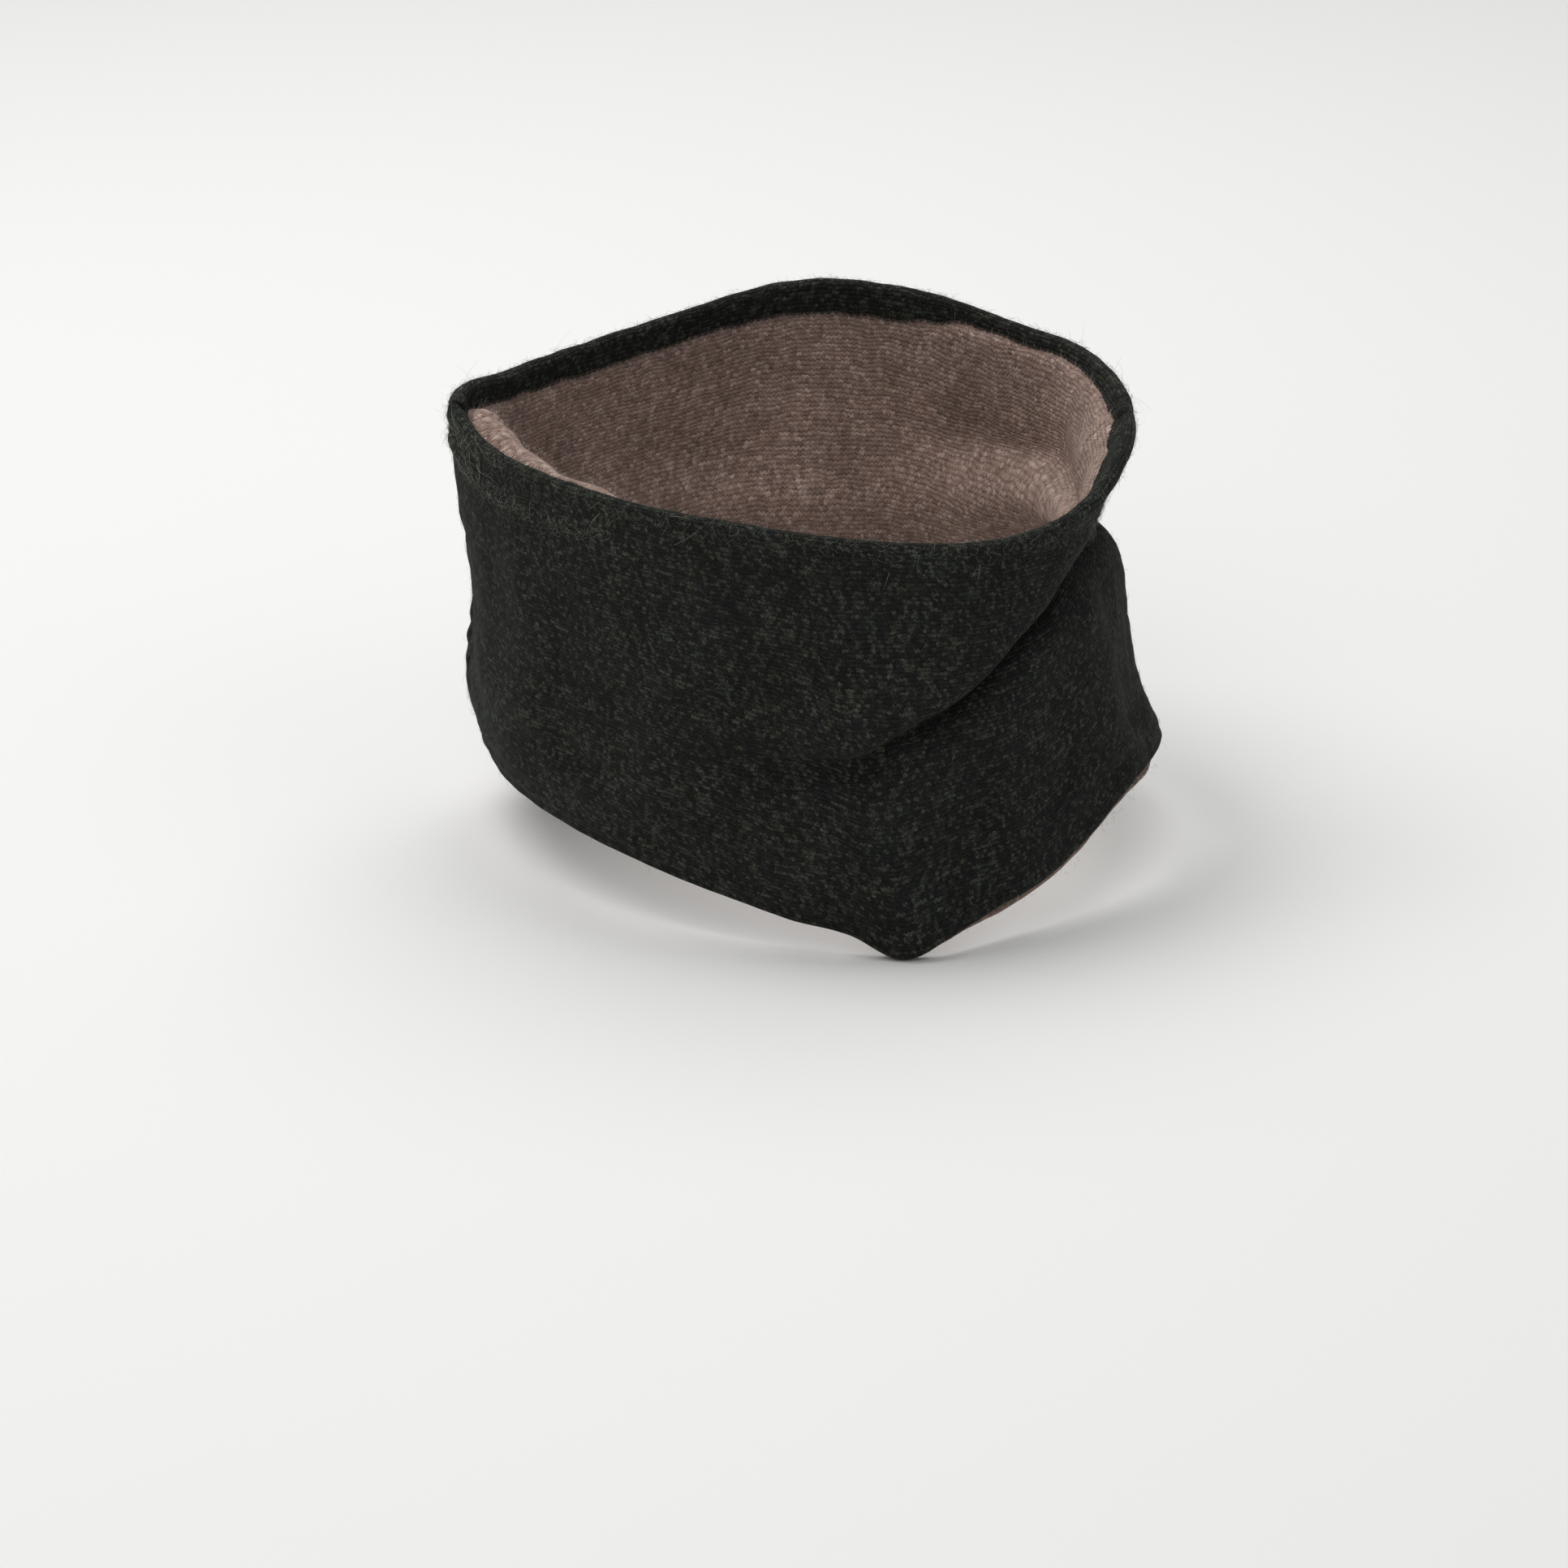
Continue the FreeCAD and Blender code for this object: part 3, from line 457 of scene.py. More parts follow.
def seat_on_frame(wall):
    """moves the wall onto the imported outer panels: level with their top, middle on middle"""
    boxes = [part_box(name) for name in ("outer_front_panel", "outer_back_panel")]
    low = np.min([box[0] for box in boxes], axis=0) * 1000
    high = np.max([box[1] for box in boxes], axis=0) * 1000
    round_roll = -np.linspace(0, 1, 12)[None] * math.pi * ROLL
    rim = wall.place(wall.angles[:, None], round_roll, 0.0)
    mine = np.concatenate([wall.face.reshape(-1, 3), rim.reshape(-1, 3)])
    offset = (low + high) / 2 - (mine.min(0) + mine.max(0)) / 2
    offset[2] = high[2] - mine[:, 2].max()
    # only a small correction is taken
    if np.abs(offset).max() < 3.0:
        wall.renew(wall.face + offset)


DRAPE_COLUMNS, DRAPE_ROWS, DRAPE_FRAMES = 132, 46, 18
DRAPE_LIMIT = 1.7       # mm, the most the cloth run may move the wall


def drape_tube(points):
    """coarse tube pinned at the rim, the hem, the slouch fold and the side seams"""
    columns, rows = points.shape[:2]
    mesh = bpy.data.meshes.new("drape_tube")
    quads = [(i * rows + j, ((i + 1) % columns) * rows + j,
              ((i + 1) % columns) * rows + j + 1, i * rows + j + 1)
             for i in range(columns) for j in range(rows - 1)]
    mesh.from_pydata([tuple(p) for p in points.reshape(-1, 3)], [], quads)
    tube_object = bpy.data.objects.new("drape_tube", mesh)
    bpy.context.scene.collection.objects.link(tube_object)
    hold = tube_object.vertex_groups.new(name="hold")
    shares = np.linspace(0, 1, rows)
    for i in range(columns):
        angle = i * 360.0 / columns
        fold_share = float(ease(FOLD_SHARE, angle))
        fold_at = float(FOLD_AT(angle))
        at_seams = 0.9 * max(bump((angle + 180) % 360 - 180, 7.0), bump(angle - 180, 7.0))
        for j in range(rows):
            weight = max(bump(shares[j], 0.07), bump(1 - shares[j], 0.06),
                         fold_share * bump(shares[j] - fold_at - 0.03, 0.13), at_seams)
            hold.add([i * rows + j], float(min(1.0, weight)), "REPLACE")
    return tube_object


def run_cloth(tube_object, shape):
    """runs the simulation and gives back the moved points"""
    modifier = tube_object.modifiers.new("drape", "CLOTH")
    settings = modifier.settings
    settings.quality = 6
    settings.mass = 0.25
    settings.tension_stiffness = 12
    settings.compression_stiffness = 12
    settings.shear_stiffness = 5
    settings.bending_stiffness = 0.35
    settings.vertex_group_mass = "hold"
    settings.pin_stiffness = 1.0
    settings.shrink_min = -0.045
    settings.effector_weights.gravity = 0.35
    modifier.collision_settings.use_self_collision = False
    modifier.point_cache.frame_start = 1
    modifier.point_cache.frame_end = DRAPE_FRAMES
    for frame in range(1, DRAPE_FRAMES + 1):
        bpy.context.scene.frame_set(frame)
    evaluated = tube_object.evaluated_get(bpy.context.evaluated_depsgraph_get())
    moved_mesh = evaluated.to_mesh()
    moved = np.zeros(len(moved_mesh.vertices) * 3)
    moved_mesh.vertices.foreach_get("co", moved)
    evaluated.to_mesh_clear()
    return moved.reshape(shape)


def smooth_lookup(count, coarse, closed):
    """four source indices and cubic weights for each of count fine positions"""
    if closed:
        position = np.arange(count) / count * coarse
        base = np.floor(position).astype(int)
    else:
        position = np.linspace(0, coarse - 1, count)
        base = np.clip(np.floor(position).astype(int), 0, coarse - 2)
    t = position - base
    weights = np.stack([((-0.5 * t + 1) * t - 0.5) * t, (1.5 * t - 2.5) * t * t + 1,
                        ((-1.5 * t + 2) * t + 0.5) * t, (0.5 * t - 0.5) * t * t], -1)
    spots = [base + k - 1 for k in range(4)]
    if closed:
        return [spot % coarse for spot in spots], weights
    return [np.clip(spot, 0, coarse - 1) for spot in spots], weights


def drape(wall):
    """short cloth run on a coarse tube: the knit is a little too long for its pinned edges, so
    it buckles softly.  Only the movement along the wall's normal is kept, and it is capped."""
    columns = np.arange(DRAPE_COLUMNS) * wall.columns // DRAPE_COLUMNS
    rows = np.round(np.linspace(0, wall.rows - 1, DRAPE_ROWS)).astype(int)
    coarse = np.ix_(columns, rows)
    points = wall.face[coarse] / 1000.0
    tube_object = drape_tube(points)
    mesh = tube_object.data
    moved = run_cloth(tube_object, points.shape)
    bpy.data.objects.remove(tube_object, do_unlink=True)
    bpy.data.meshes.remove(mesh)
    bpy.context.scene.frame_set(1)

    shift = np.nan_to_num(((moved - points) * 1000.0 * wall.outward[coarse]).sum(2))
    for _ in range(3):
        shift = 0.5 * shift + 0.25 * (np.roll(shift, 1, 0) + np.roll(shift, -1, 0))
        eased = shift.copy()
        eased[:, 1:-1] = 0.5 * shift[:, 1:-1] + 0.25 * (shift[:, :-2] + shift[:, 2:])
        shift = eased
    shift -= shift.mean() * 0.5
    shift = DRAPE_LIMIT * np.tanh(shift / DRAPE_LIMIT)

    spots, weights = smooth_lookup(wall.columns, DRAPE_COLUMNS, closed=True)
    fine = sum(shift[spots[k]] * weights[:, k:k + 1] for k in range(4))
    spots, weights = smooth_lookup(wall.rows, DRAPE_ROWS, closed=False)
    fine = sum(fine[:, spots[k]] * weights[None, :, k] for k in range(4))
    wall.renew(wall.face + wall.outward * fine[..., None])


def rim_ridge_line(angle):
    """extra drop of the ridge that the facing presses through the outer face"""
    return ease(RIM_RIDGE_DROP, angle)


def add_wear(wall):
    """wearing marks: waves, the hem allowance, the facing's edge, puckers and seam grooves"""
    angle = wall.angles[:, None]
    length = wall.lengths[:, None]
    down = np.linspace(0, 1, wall.rows)[None] * length
    up = length - down
    around = wall.girth(wall.angles)[:, None] + 0 * down
    period = wall.total
    # the whole face is a little uneven
    out = (0.16 * waves(11, 9, 22, 60, around, down, period)
           * np.clip(up / 12, 0, 1) * np.clip(down / 10, 0, 1))
    out = out + 0.07 * waves(12, 9, 8, 16, around, down, period)
    # the back hangs in shallow folds
    out = out + (ease(BACK_FOLDS, angle) * waves(14, 5, 46, 120, around, 0.6 * down, period)
                 * np.clip(up / 28, 0, 1) * np.clip((down - 6) / 24, 0, 1))
    # the rim is not quite even
    out = out + 0.22 * waves(13, 6, 16, 48, around, 0 * down, period) * bump(down, 9.0)
    # hem allowance pressed through, with a hollow above and below
    amount = ease(HEM_RIDGE, angle)
    out = out + amount * (bump(up - 5.6, 1.5) - 0.35 * bump(up - 9.0, 2.2)
                          - 0.30 * bump(up - 2.6, 1.4))
    # lower edge of the facing pressed through below the rim
    line = 9.0 + rim_ridge_line(angle)
    out = out + ease(RIM_RIDGE, angle) * (bump(down - line, 2.0)
                                          - 0.5 * bump(down - line + 4.2, 2.2))
    # puckers beside each side seam, and the groove of the seam
    vary = 0.55 + 0.45 * np.sin(down / 6.3 + 1.7)
    ripple = np.sin(2 * math.pi * down / 10.4 + 2.2 * np.sin(down / 12.5))
    for distance, pucker in zip(wall.seam_distances(wall.angles), (0.45, 0.32)):
        x = distance[:, None]
        out = out + pucker * vary * ripple * bump(x - 3.8, 3.6) * np.clip(x / 1.4, 0, 1)
        out = out - 0.95 * bump(x, 1.25) - 0.25 * bump(x, 4.0)
    wall.renew(wall.face + wall.outward * out[..., None])


wall = Wall()
seat_on_frame(wall)
drape(wall)
add_wear(wall)


# ---------------------------------------------------------------- the lining's surface
def facing(angle):
    """how far the turned-in edge reaches down inside; hand-laid, so never quite even"""
    turn = np.radians(np.asarray(angle, float))
    return (ease(FACING, angle) + 0.24 * np.sin(turn * 23 + 1.0)
            + 0.18 * np.sin(turn * 37 + 2.2) + 0.12 * np.sin(turn * 61))


def lining_slack(angle, down):
    """how far the lining stands in: a pillow below the facing and a ledge lower down"""
    below = down - facing(angle)[:, None]
    pillow = 1 - np.exp(-(np.clip(below - 1.2, 0, None) / 3.4) ** 1.4)
    pillow = pillow * (1 - ramp((below - 12.0) / 40.0))
    share = down / wall.length(angle)[:, None]
    ledge_at = ease(LEDGE_AT, angle)[:, None]
    ledge = ramp((share - (ledge_at - 0.19)) / 0.19) * ramp((1.0 - share) / (1.0 - ledge_at - 0.04))
    uneven = (1 + 0.06 * np.sin(np.radians(angle) * 9 + 0.6)
              + 0.04 * np.sin(np.radians(angle) * 17 + 2.0))
    return (ease(SLACK, angle) * uneven)[:, None] * pillow + ease(LEDGE, angle)[:, None] * ledge


def inward_normals(net):
    around = np.roll(net, -1, 0) - np.roll(net, 1, 0)
    return unit(np.cross(around, np.gradient(net, axis=1)), 1e-12)


def eased_net(net, inward, rounds, keep):
    """smooths a net of points without letting it sink back towards the outer cloth"""
    moved = net.copy()
    for k in range(rounds):
        target = moved.copy()
        target[:, 1:-1] = 0.5 * moved[:, 1:-1] + 0.25 * (moved[:, :-2] + moved[:, 2:])
        if k % 3 == 0:
            target = 0.5 * target + 0.25 * (np.roll(target, 1, 0) + np.roll(target, -1, 0))
        moved = moved + (target - moved) * keep[..., None]
        gain = ((moved - net) * inward).sum(-1)
        moved = moved + np.clip(-gain - 0.15, 0, None)[..., None] * inward
    return moved


def lean_directions(net):
    """plan direction in which each column leans: half across the wall, half to the neck"""
    middle = net.mean(1)[:, :2]
    to_neck = unit(np.array(NECK_CENTRE) - middle)
    chord = np.roll(middle, -8, 0) - np.roll(middle, 8, 0)
    across = np.stack([-chord[:, 1], chord[:, 0]], 1)
    across = unit(across * np.sign((across * to_neck).sum(1, keepdims=True)))
    lean = to_neck + across
    for _ in range(60):
        lean = 0.5 * lean + 0.25 * (np.roll(lean, 1, 0) + np.roll(lean, -1, 0))
    return unit(lean)


class Lining:
    """middle surface of the lining: it leaves the facing, stands up in a pillow and does not
    follow sharp hollows"""

    def __init__(self, columns=720, rows=280):
        angle = np.arange(columns) * 360.0 / columns
        self.columns, self.rows = columns, rows
        edge = facing(angle)
        self.top = edge + 0.2
        self.length = wall.length(angle)
        down = (self.top[:, None]
                + (self.length - self.top)[:, None] * np.linspace(0, 1, rows)[None])
        below = down - edge[:, None]
        above_hem = np.clip((self.length[:, None] - 4.0 - down) / 6.0, 0, 1)
        inward = -wall.at(angle[:, None], down)[1]
        net = wall.place(angle[:, None], down, KNIT + SPACE + KNIT / 2)
        net = eased_net(net, inward, 150, np.clip((below - 0.5) / 5.0, 0, 1) * above_hem)
        lean = lean_directions(net)[:, None] * lining_slack(angle, down)[..., None]
        net[..., :2] += lean
        net[..., 2] += (ease(LIFT, angle)[:, None] * bump(below - 4.8, 7.5)
                        * ramp((below - 1.0) / 3.8))
        keep = np.clip((below - 1.5) / 4.0, 0, 1) * above_hem
        self.net = eased_net(net, inward_normals(net), 24, keep)
        self.inward = inward_normals(self.net)

    def place(self, angle, down, depth):
        """depth 0 is the lining's outer side, KNIT its inner side"""
        angle, down, depth = np.broadcast_arrays(
            np.asarray(angle, float) % 360.0, np.asarray(down, float), np.asarray(depth, float))
        column = angle / 360.0 * self.columns
        top = sample_round(self.top, column)
        length = sample_round(self.length, column)
        row = np.clip((down - top) / (length - top), 0, 1) * (self.rows - 1)
        inward = unit(sample(self.inward, column, row), 1e-12)
        # the knit is pinched where it leaves the seam
        squeeze = 0.30 + 0.70 * ramp((down - top - 1.4) / 4.0)
        return sample(self.net, column, row) + inward * ((depth - KNIT / 2) * squeeze)[..., None]


lining = Lining()


# ---------------------------------------------------------------- building meshes
def new_piece(name, verts, faces, uv, material, slot, replaces=True):
    """a smooth mesh object from millimetres; faces is a list of quad and triangle arrays"""
    mesh = bpy.data.meshes.new(name)
    verts = np.asarray(verts, float).reshape(-1, 3) / 1000.0
    loops = np.concatenate([f.reshape(-1) for f in faces]).astype(np.int32)
    sizes = np.concatenate([np.full(len(f), f.shape[1], np.int32) for f in faces])
    starts = np.r_[0, np.cumsum(sizes)[:-1]].astype(np.int32)
    mesh.vertices.add(len(verts))
    mesh.vertices.foreach_set("co", verts.reshape(-1).astype(np.float32))
    mesh.loops.add(len(loops))
    mesh.loops.foreach_set("vertex_index", loops)
    mesh.polygons.add(len(sizes))
    mesh.polygons.foreach_set("loop_start", starts)
    mesh.polygons.foreach_set("loop_total", sizes)
    layer = mesh.uv_layers.new(name="knit")
    uv = np.asarray(uv, float).reshape(-1, 2)
    layer.data.foreach_set("uv", uv[loops].reshape(-1).astype(np.float32))
    mesh.update(calc_edges=True)
    mesh.validate()
    mesh.polygons.foreach_set("use_smooth", np.full(len(mesh.polygons), True))
    mesh.update()
    piece = bpy.data.objects.new(name, mesh)
    bpy.context.scene.collection.objects.link(piece)
    mesh.materials.append(material)
    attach(piece, "root")
    if replaces:
        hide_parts(name)


def volume_sign(points):
    """+1 if the loft's quads, taken in the order used by loft, face out"""
    centre = points.mean(axis=1, keepdims=True)
    spoke = points - centre
    next_spoke = np.roll(points, -1, 1) - centre
    area = np.cross(spoke, next_spoke).sum(axis=1)
    step = np.gradient(points.mean(axis=1), axis=0)
    return -np.sign((area * step).sum())


def loft(name, points, uv, material, slot):
    """closed piece from columns of closed loops; loop point j faces point m-1-j"""
    n, m = points.shape[:2]
    index = np.arange(n * m).reshape(n, m)
    after = np.roll(index, -1, 1)
    sides = np.stack([index[:-1], index[1:], after[1:], after[:-1]], -1).reshape(-1, 4)
    j = np.arange(m // 2 - 1)
    first, last = [np.stack([row[j], row[j + 1], row[m - 2 - j], row[m - 1 - j]], -1)
                   for row in (index[0], index[-1])]
    faces = [sides, first, last[:, ::-1]]
    if volume_sign(points) < 0:
        faces = [f[:, ::-1] for f in faces]
    new_piece(name, points, faces, uv, material, slot)


YARN_SIDES = 6
YARN_TWIST = 3.0        # radians per mm


def tube(points, radius, ply=0.0, closed=False):
    """verts, faces and uv of a yarn along points; ply gives a twisted two-ply outline"""
    n = len(points)
    if closed:
        along = np.roll(points, -1, 0) - np.roll(points, 1, 0)
    else:
        along = np.gradient(points, axis=0)
    along = unit(along, 1e-12)
    side = np.empty_like(points)
    before = np.array([0.13, 0.27, 0.95])
    for i in range(n):
        side[i] = before = unit(before - along[i] * (before @ along[i]), 1e-12)
    other = np.cross(along, side)
    theta = np.arange(YARN_SIDES) * 2 * math.pi / YARN_SIDES
    run = np.r_[0, np.cumsum(np.linalg.norm(np.diff(points, axis=0), axis=1))]
    radii = radius * (1 + ply * np.cos(2 * (theta[None] - YARN_TWIST * run[:, None])))
    verts = points[:, None] + radii[..., None] * (
        np.cos(theta)[None, :, None] * side[:, None]
        + np.sin(theta)[None, :, None] * other[:, None])
    index = np.arange(n * YARN_SIDES).reshape(n, YARN_SIDES)
    after = np.roll(index, -1, 1)
    uv = np.stack([np.repeat(run[:, None], YARN_SIDES, 1),
                   np.repeat(theta[None] * radius, n, 0)], -1).reshape(-1, 2)
    if closed:
        # turn the first ring so that it meets the last one
        index2 = np.roll(index, -1, 0)
        after2 = np.roll(after, -1, 0)
        misfit = [np.linalg.norm(verts[-1] - np.roll(verts[0], -k, 0), axis=1).sum()
                  for k in range(YARN_SIDES)]
        index2[-1] = np.roll(index[0], -int(np.argmin(misfit)))
        after2[-1] = np.roll(index2[-1], -1)
        faces = [np.stack([index, after, after2, index2], -1).reshape(-1, 4)]
        return verts.reshape(-1, 3), faces, uv
    start = np.full(YARN_SIDES, n * YARN_SIDES)
    faces = [np.stack([index[:-1], after[:-1], after[1:], index[1:]], -1).reshape(-1, 4),
             np.stack([start, after[0], index[0]], -1),
             np.stack([start + 1, index[-1], after[-1]], -1)]
    verts = np.concatenate([verts.reshape(-1, 3), points[:1], points[-1:]])
    return verts, faces, np.concatenate([uv, uv[:1], uv[-1:]])


def join_tubes(parts):
    """one set of verts, faces and uv from several open tubes"""
    quads, caps, offset = [], [], 0
    for verts, faces, _ in parts:
        quads.append(faces[0] + offset)
        caps += [cap + offset for cap in faces[1:]]
        offset += len(verts)
    return (np.concatenate([part[0] for part in parts]),
            [np.concatenate(quads), np.concatenate(caps)],
            np.concatenate([part[2] for part in parts]))


# ---------------------------------------------------------------- materials
def operator(operation):
    return lambda self, other: self.shader.math(operation, self, other)


class Field:
    """output of a shader node that can be used in sums"""
    __add__ = operator("ADD")
    __sub__ = operator("SUBTRACT")
    __mul__ = operator("MULTIPLY")
    __truediv__ = operator("DIVIDE")

    def __init__(self, shader, socket):
        self.shader, self.socket = shader, socket

    def __rsub__(self, other):
        return self.shader.math("SUBTRACT", other, self)


class Shader:
    """a material with one principled surface, and short ways to add nodes to it"""

    def __init__(self, name):
        self.material = bpy.data.materials.new(name)
        self.material.use_nodes = True
        self.tree = self.material.node_tree
        self.tree.nodes.clear()
        output = self.tree.nodes.new("ShaderNodeOutputMaterial")
        self.principled = self.tree.nodes.new("ShaderNodeBsdfPrincipled")
        self.tree.links.new(self.principled.outputs[0], output.inputs[0])

    def put(self, node, inputs):
        for key, value in inputs.items():
            if isinstance(value, Field):
                self.tree.links.new(value.socket, node.inputs[key])
            else:
                node.inputs[key].default_value = value

    def node(self, kind, inputs, output=0, **properties):
        node = self.tree.nodes.new(kind)
        for key, value in properties.items():
            setattr(node, key, value)
        self.put(node, inputs)
        return Field(self, node.outputs[output])

    def surface(self, inputs):
        self.put(self.principled, inputs)

    def math(self, operation, first, second=0.0):
        return self.node("ShaderNodeMath", {0: first, 1: second, 2: 0.0}, operation=operation)

    def sine(self, x):
        return self.math("SINE", x)

    def xyz(self, x, y, z):
        return self.node("ShaderNodeCombineXYZ", {0: x, 1: y, 2: z})

    def uv(self):
        return self.node("ShaderNodeUVMap", {}, uv_map="knit")

    def split(self, vector):
        """x and y of a vector"""
        first = self.node("ShaderNodeSeparateXYZ", {0: vector})
        return first, Field(self, first.socket.node.outputs[1])

    def noise(self, vector, scale=1.0, detail=2.0, rough=0.5, warp=0.0):
        return self.node("ShaderNodeTexNoise", {"Vector": vector, "Scale": scale,
                                                "Detail": detail, "Roughness": rough,
                                                "Distortion": warp})

    def random(self, vector):
        return self.node("ShaderNodeTexWhiteNoise", {"Vector": vector})

    def mix(self, share, first, second):
        """colour mix; the colour sockets of a mix node are inputs 6 and 7, output 2"""
        return self.node("ShaderNodeMix", {0: share, 6: first, 7: second}, output=2,
                         data_type="RGBA")

    def remap(self, x, source, target=(0.0, 1.0), smooth=False):
        return self.node("ShaderNodeMapRange",
                         {0: x, 1: source[0], 2: source[1], 3: target[0], 4: target[1]},
                         interpolation_type="SMOOTHSTEP" if smooth else "LINEAR")

    def bump(self, height, strength, distance_mm):
        self.surface({"Normal": self.node("ShaderNodeBump", {
            "Strength": strength, "Distance": distance_mm / 1000.0, "Height": height})})


def rgb(*channels):
    """linear colour from 8-bit display values"""
    def linear(c):
        c /= 255.0
        return c / 12.92 if c <= 0.04045 else ((c + 0.055) / 1.055) ** 2.4
    return tuple(linear(c) for c in channels) + (1.0,)


def wool(name, dark, mid, fleck, hair_and_sheen_tone, wale, course, seed, sheen, relief, fleck_share,
         gap_shade_tone, hue_shift, closed):
    """fine knit in a melange yarn: rows of short loops, a tone for each loop, ply and loose hair.

    wale and course are the loop's width and height in mm, relief the bump in mm, gap_shade_tone
    the brightness of the painted shade between loops, closed how far hair covers the rows in
    places."""
    g = Shader(name)
    u, v = g.split(g.uv())
    plan = g.xyz(u, v, seed * 7.7)
    # the rows are never quite straight
    slow = g.noise(plan, scale=0.11)
    quick = g.noise(plan, scale=0.55)
    across = u + (quick - 0.5) * 0.75
    up = v + ((slow - 0.5) * 2.4
              + (g.noise(g.xyz(u, v, seed * 3.1 + 9), scale=0.5) - 0.5) * 0.7)
    # the rows show as broken lines of short arched loops
    x = across / wale
    y = up / course + g.sine(x * (2 * math.pi)) * 0.13
    row = g.math("FLOOR", y)
    in_row = y - row
    shifted = x + g.random(g.xyz(0.0, row, seed)) * 2.0
    loop = g.math("FLOOR", shifted)
    in_loop = shifted - loop - 0.5
    arch = g.math("SQRT", g.math("MAXIMUM", 1.0 - in_loop * in_loop * 3.4))
    rise = g.math("POWER", g.math("MAXIMUM", g.sine(in_row * math.pi)), 1.1)
    stitch = (arch * 0.45 + 0.55) * rise
    loop_fleck = g.random(g.xyz(loop, row, seed))
    loop_tone = g.random(g.xyz(loop, row, seed + 5.0))
    # twist of the yarn and loose hair
    ply = g.noise(g.xyz(across * 1.7, up * 4.0, seed), scale=1.4, detail=3.0, rough=0.6)
    hair = g.noise(g.xyz(across * 1.15, up * 4.3, seed + 2.0),
                   scale=1.1, detail=4.0, rough=0.68, warp=0.6)
    stray = g.noise(g.xyz(u * 2.8, v * 2.2, seed + 4.0),
                    scale=1.1, detail=4.0, rough=0.68, warp=1.6)
    broad = g.noise(plan, scale=0.045, detail=3.0, rough=0.55)
    patch = g.noise(plan, scale=0.16, detail=3.0, rough=0.6)
    # colour: undyed, dark and light hairs spun together
    run = g.noise(g.xyz(across * 0.42, row * 3.7, seed + 1.0), detail=3.0, rough=0.65)
    fine = hair * 0.74 + stray * 0.26
    fine = fine + ((loop_fleck - 0.5) * 0.18 + ((run - 0.5) * 0.26 + (patch - 0.5) * 0.10))
    light = g.remap(fine, (0.62 - 0.25 * fleck_share, 0.86 - 0.25 * fleck_share), smooth=True)
    tone = loop_tone * 0.40 + (ply * 0.34 + run * 0.40)
    color = g.mix(tone, dark, mid)
    color = g.mix(light, color, fleck)
    loose = (g.remap(stray, (0.62, 0.76), (0.0, 0.30), smooth=True)
             * g.remap(hair, (0.5, 0.7), (0.3, 1.0)))
    color = g.mix(loose, color, hair_and_sheen_tone)
    # painted shade: the gaps between the loops are darkened; in places the hair closes over the
    # rows and lifts that shade
    gap = g.remap(stitch + (ply - 0.5) * 0.95, (0.12, 0.78), (gap_shade_tone, 1.05), smooth=True)
    cover = g.noise(g.xyz(across * 0.30, up * 0.75, seed + 6.0), detail=3.0, rough=0.7)
    shut = g.remap(cover, (0.36, 0.60), (0.0, closed), smooth=True)
    gap = gap + (0.92 - gap) * shut
    # the painted shade of the gaps, times a slow random change of tone
    shade = gap * g.remap(broad, (0.3, 0.7), (0.86, 1.14))
    # patches drift between a warmer and a cooler hue
    drift = g.noise(plan, scale=0.10, detail=3.0, rough=0.6)
    hue = g.mix(g.remap(drift, (0.38, 0.62), smooth=True),
                (1 + hue_shift, 1.0, 1 - 1.3 * hue_shift, 1),
                (1 - hue_shift, 1.0, 1 + 1.3 * hue_shift, 1))
    color = g.node("ShaderNodeVectorMath", {0: color, 1: hue}, operation="MULTIPLY")
    color = g.node("ShaderNodeVectorMath", {0: color, "Scale": shade}, operation="SCALE")
    # painted sheen: towards grazing angles the base colour is mixed with the lighter hair and sheen
    # tone
    sheen_facing = g.node("ShaderNodeLayerWeight", {"Blend": 0.42}, output="Facing")
    color = g.mix(g.math("POWER", sheen_facing, 3.0) * 0.30, color, hair_and_sheen_tone)
    g.surface({"Base Color": color, "Roughness": g.remap(hair, (0.3, 0.7), (0.82, 0.97)),
               "Specular IOR Level": 0.16, "Sheen Weight": sheen, "Sheen Roughness": 0.42,
               "Sheen Tint": hair_and_sheen_tone})
    height = stitch * 1.0 + (ply * 0.42 + (hair * 0.38 + stray * 0.30))
    g.bump(height + loop_tone * 0.16, strength=0.85, distance_mm=relief)
    return g.material


def yarn(name, dark, light):
    """matt seaming yarn with a visible twist"""
    g = Shader(name)
    u, v = g.split(g.uv())
    twist = g.sine(u * 5.2 + v * 9.0) * 0.5 + 0.5
    fuzz = g.noise(g.xyz(u * 2.0, v * 6.0, 1.0), scale=2.0, detail=3.0, rough=0.6)
    tone = twist * 0.6 + fuzz * 0.5
    g.surface({"Base Color": g.mix(tone, dark, light), "Roughness": 0.9,
               "Specular IOR Level": 0.15, "Sheen Weight": 0.25, "Sheen Roughness": 0.5})
    g.bump(tone, strength=0.9, distance_mm=0.16)
    return g.material


def hair_wool(name, dark, light, sheen=0.1):
    """single loose wool hairs; each one has its own tone"""
    g = Shader(name)
    uv = g.uv()
    tone = g.random(uv)
    cloud = g.noise(uv, scale=0.8)
    g.surface({"Base Color": g.mix((tone + cloud) * 0.62, dark, light),
               "Roughness": g.remap(cloud, (0.3, 0.7), (0.62, 0.85)),
               "Specular IOR Level": 0.25, "Sheen Weight": sheen})
    return g.material


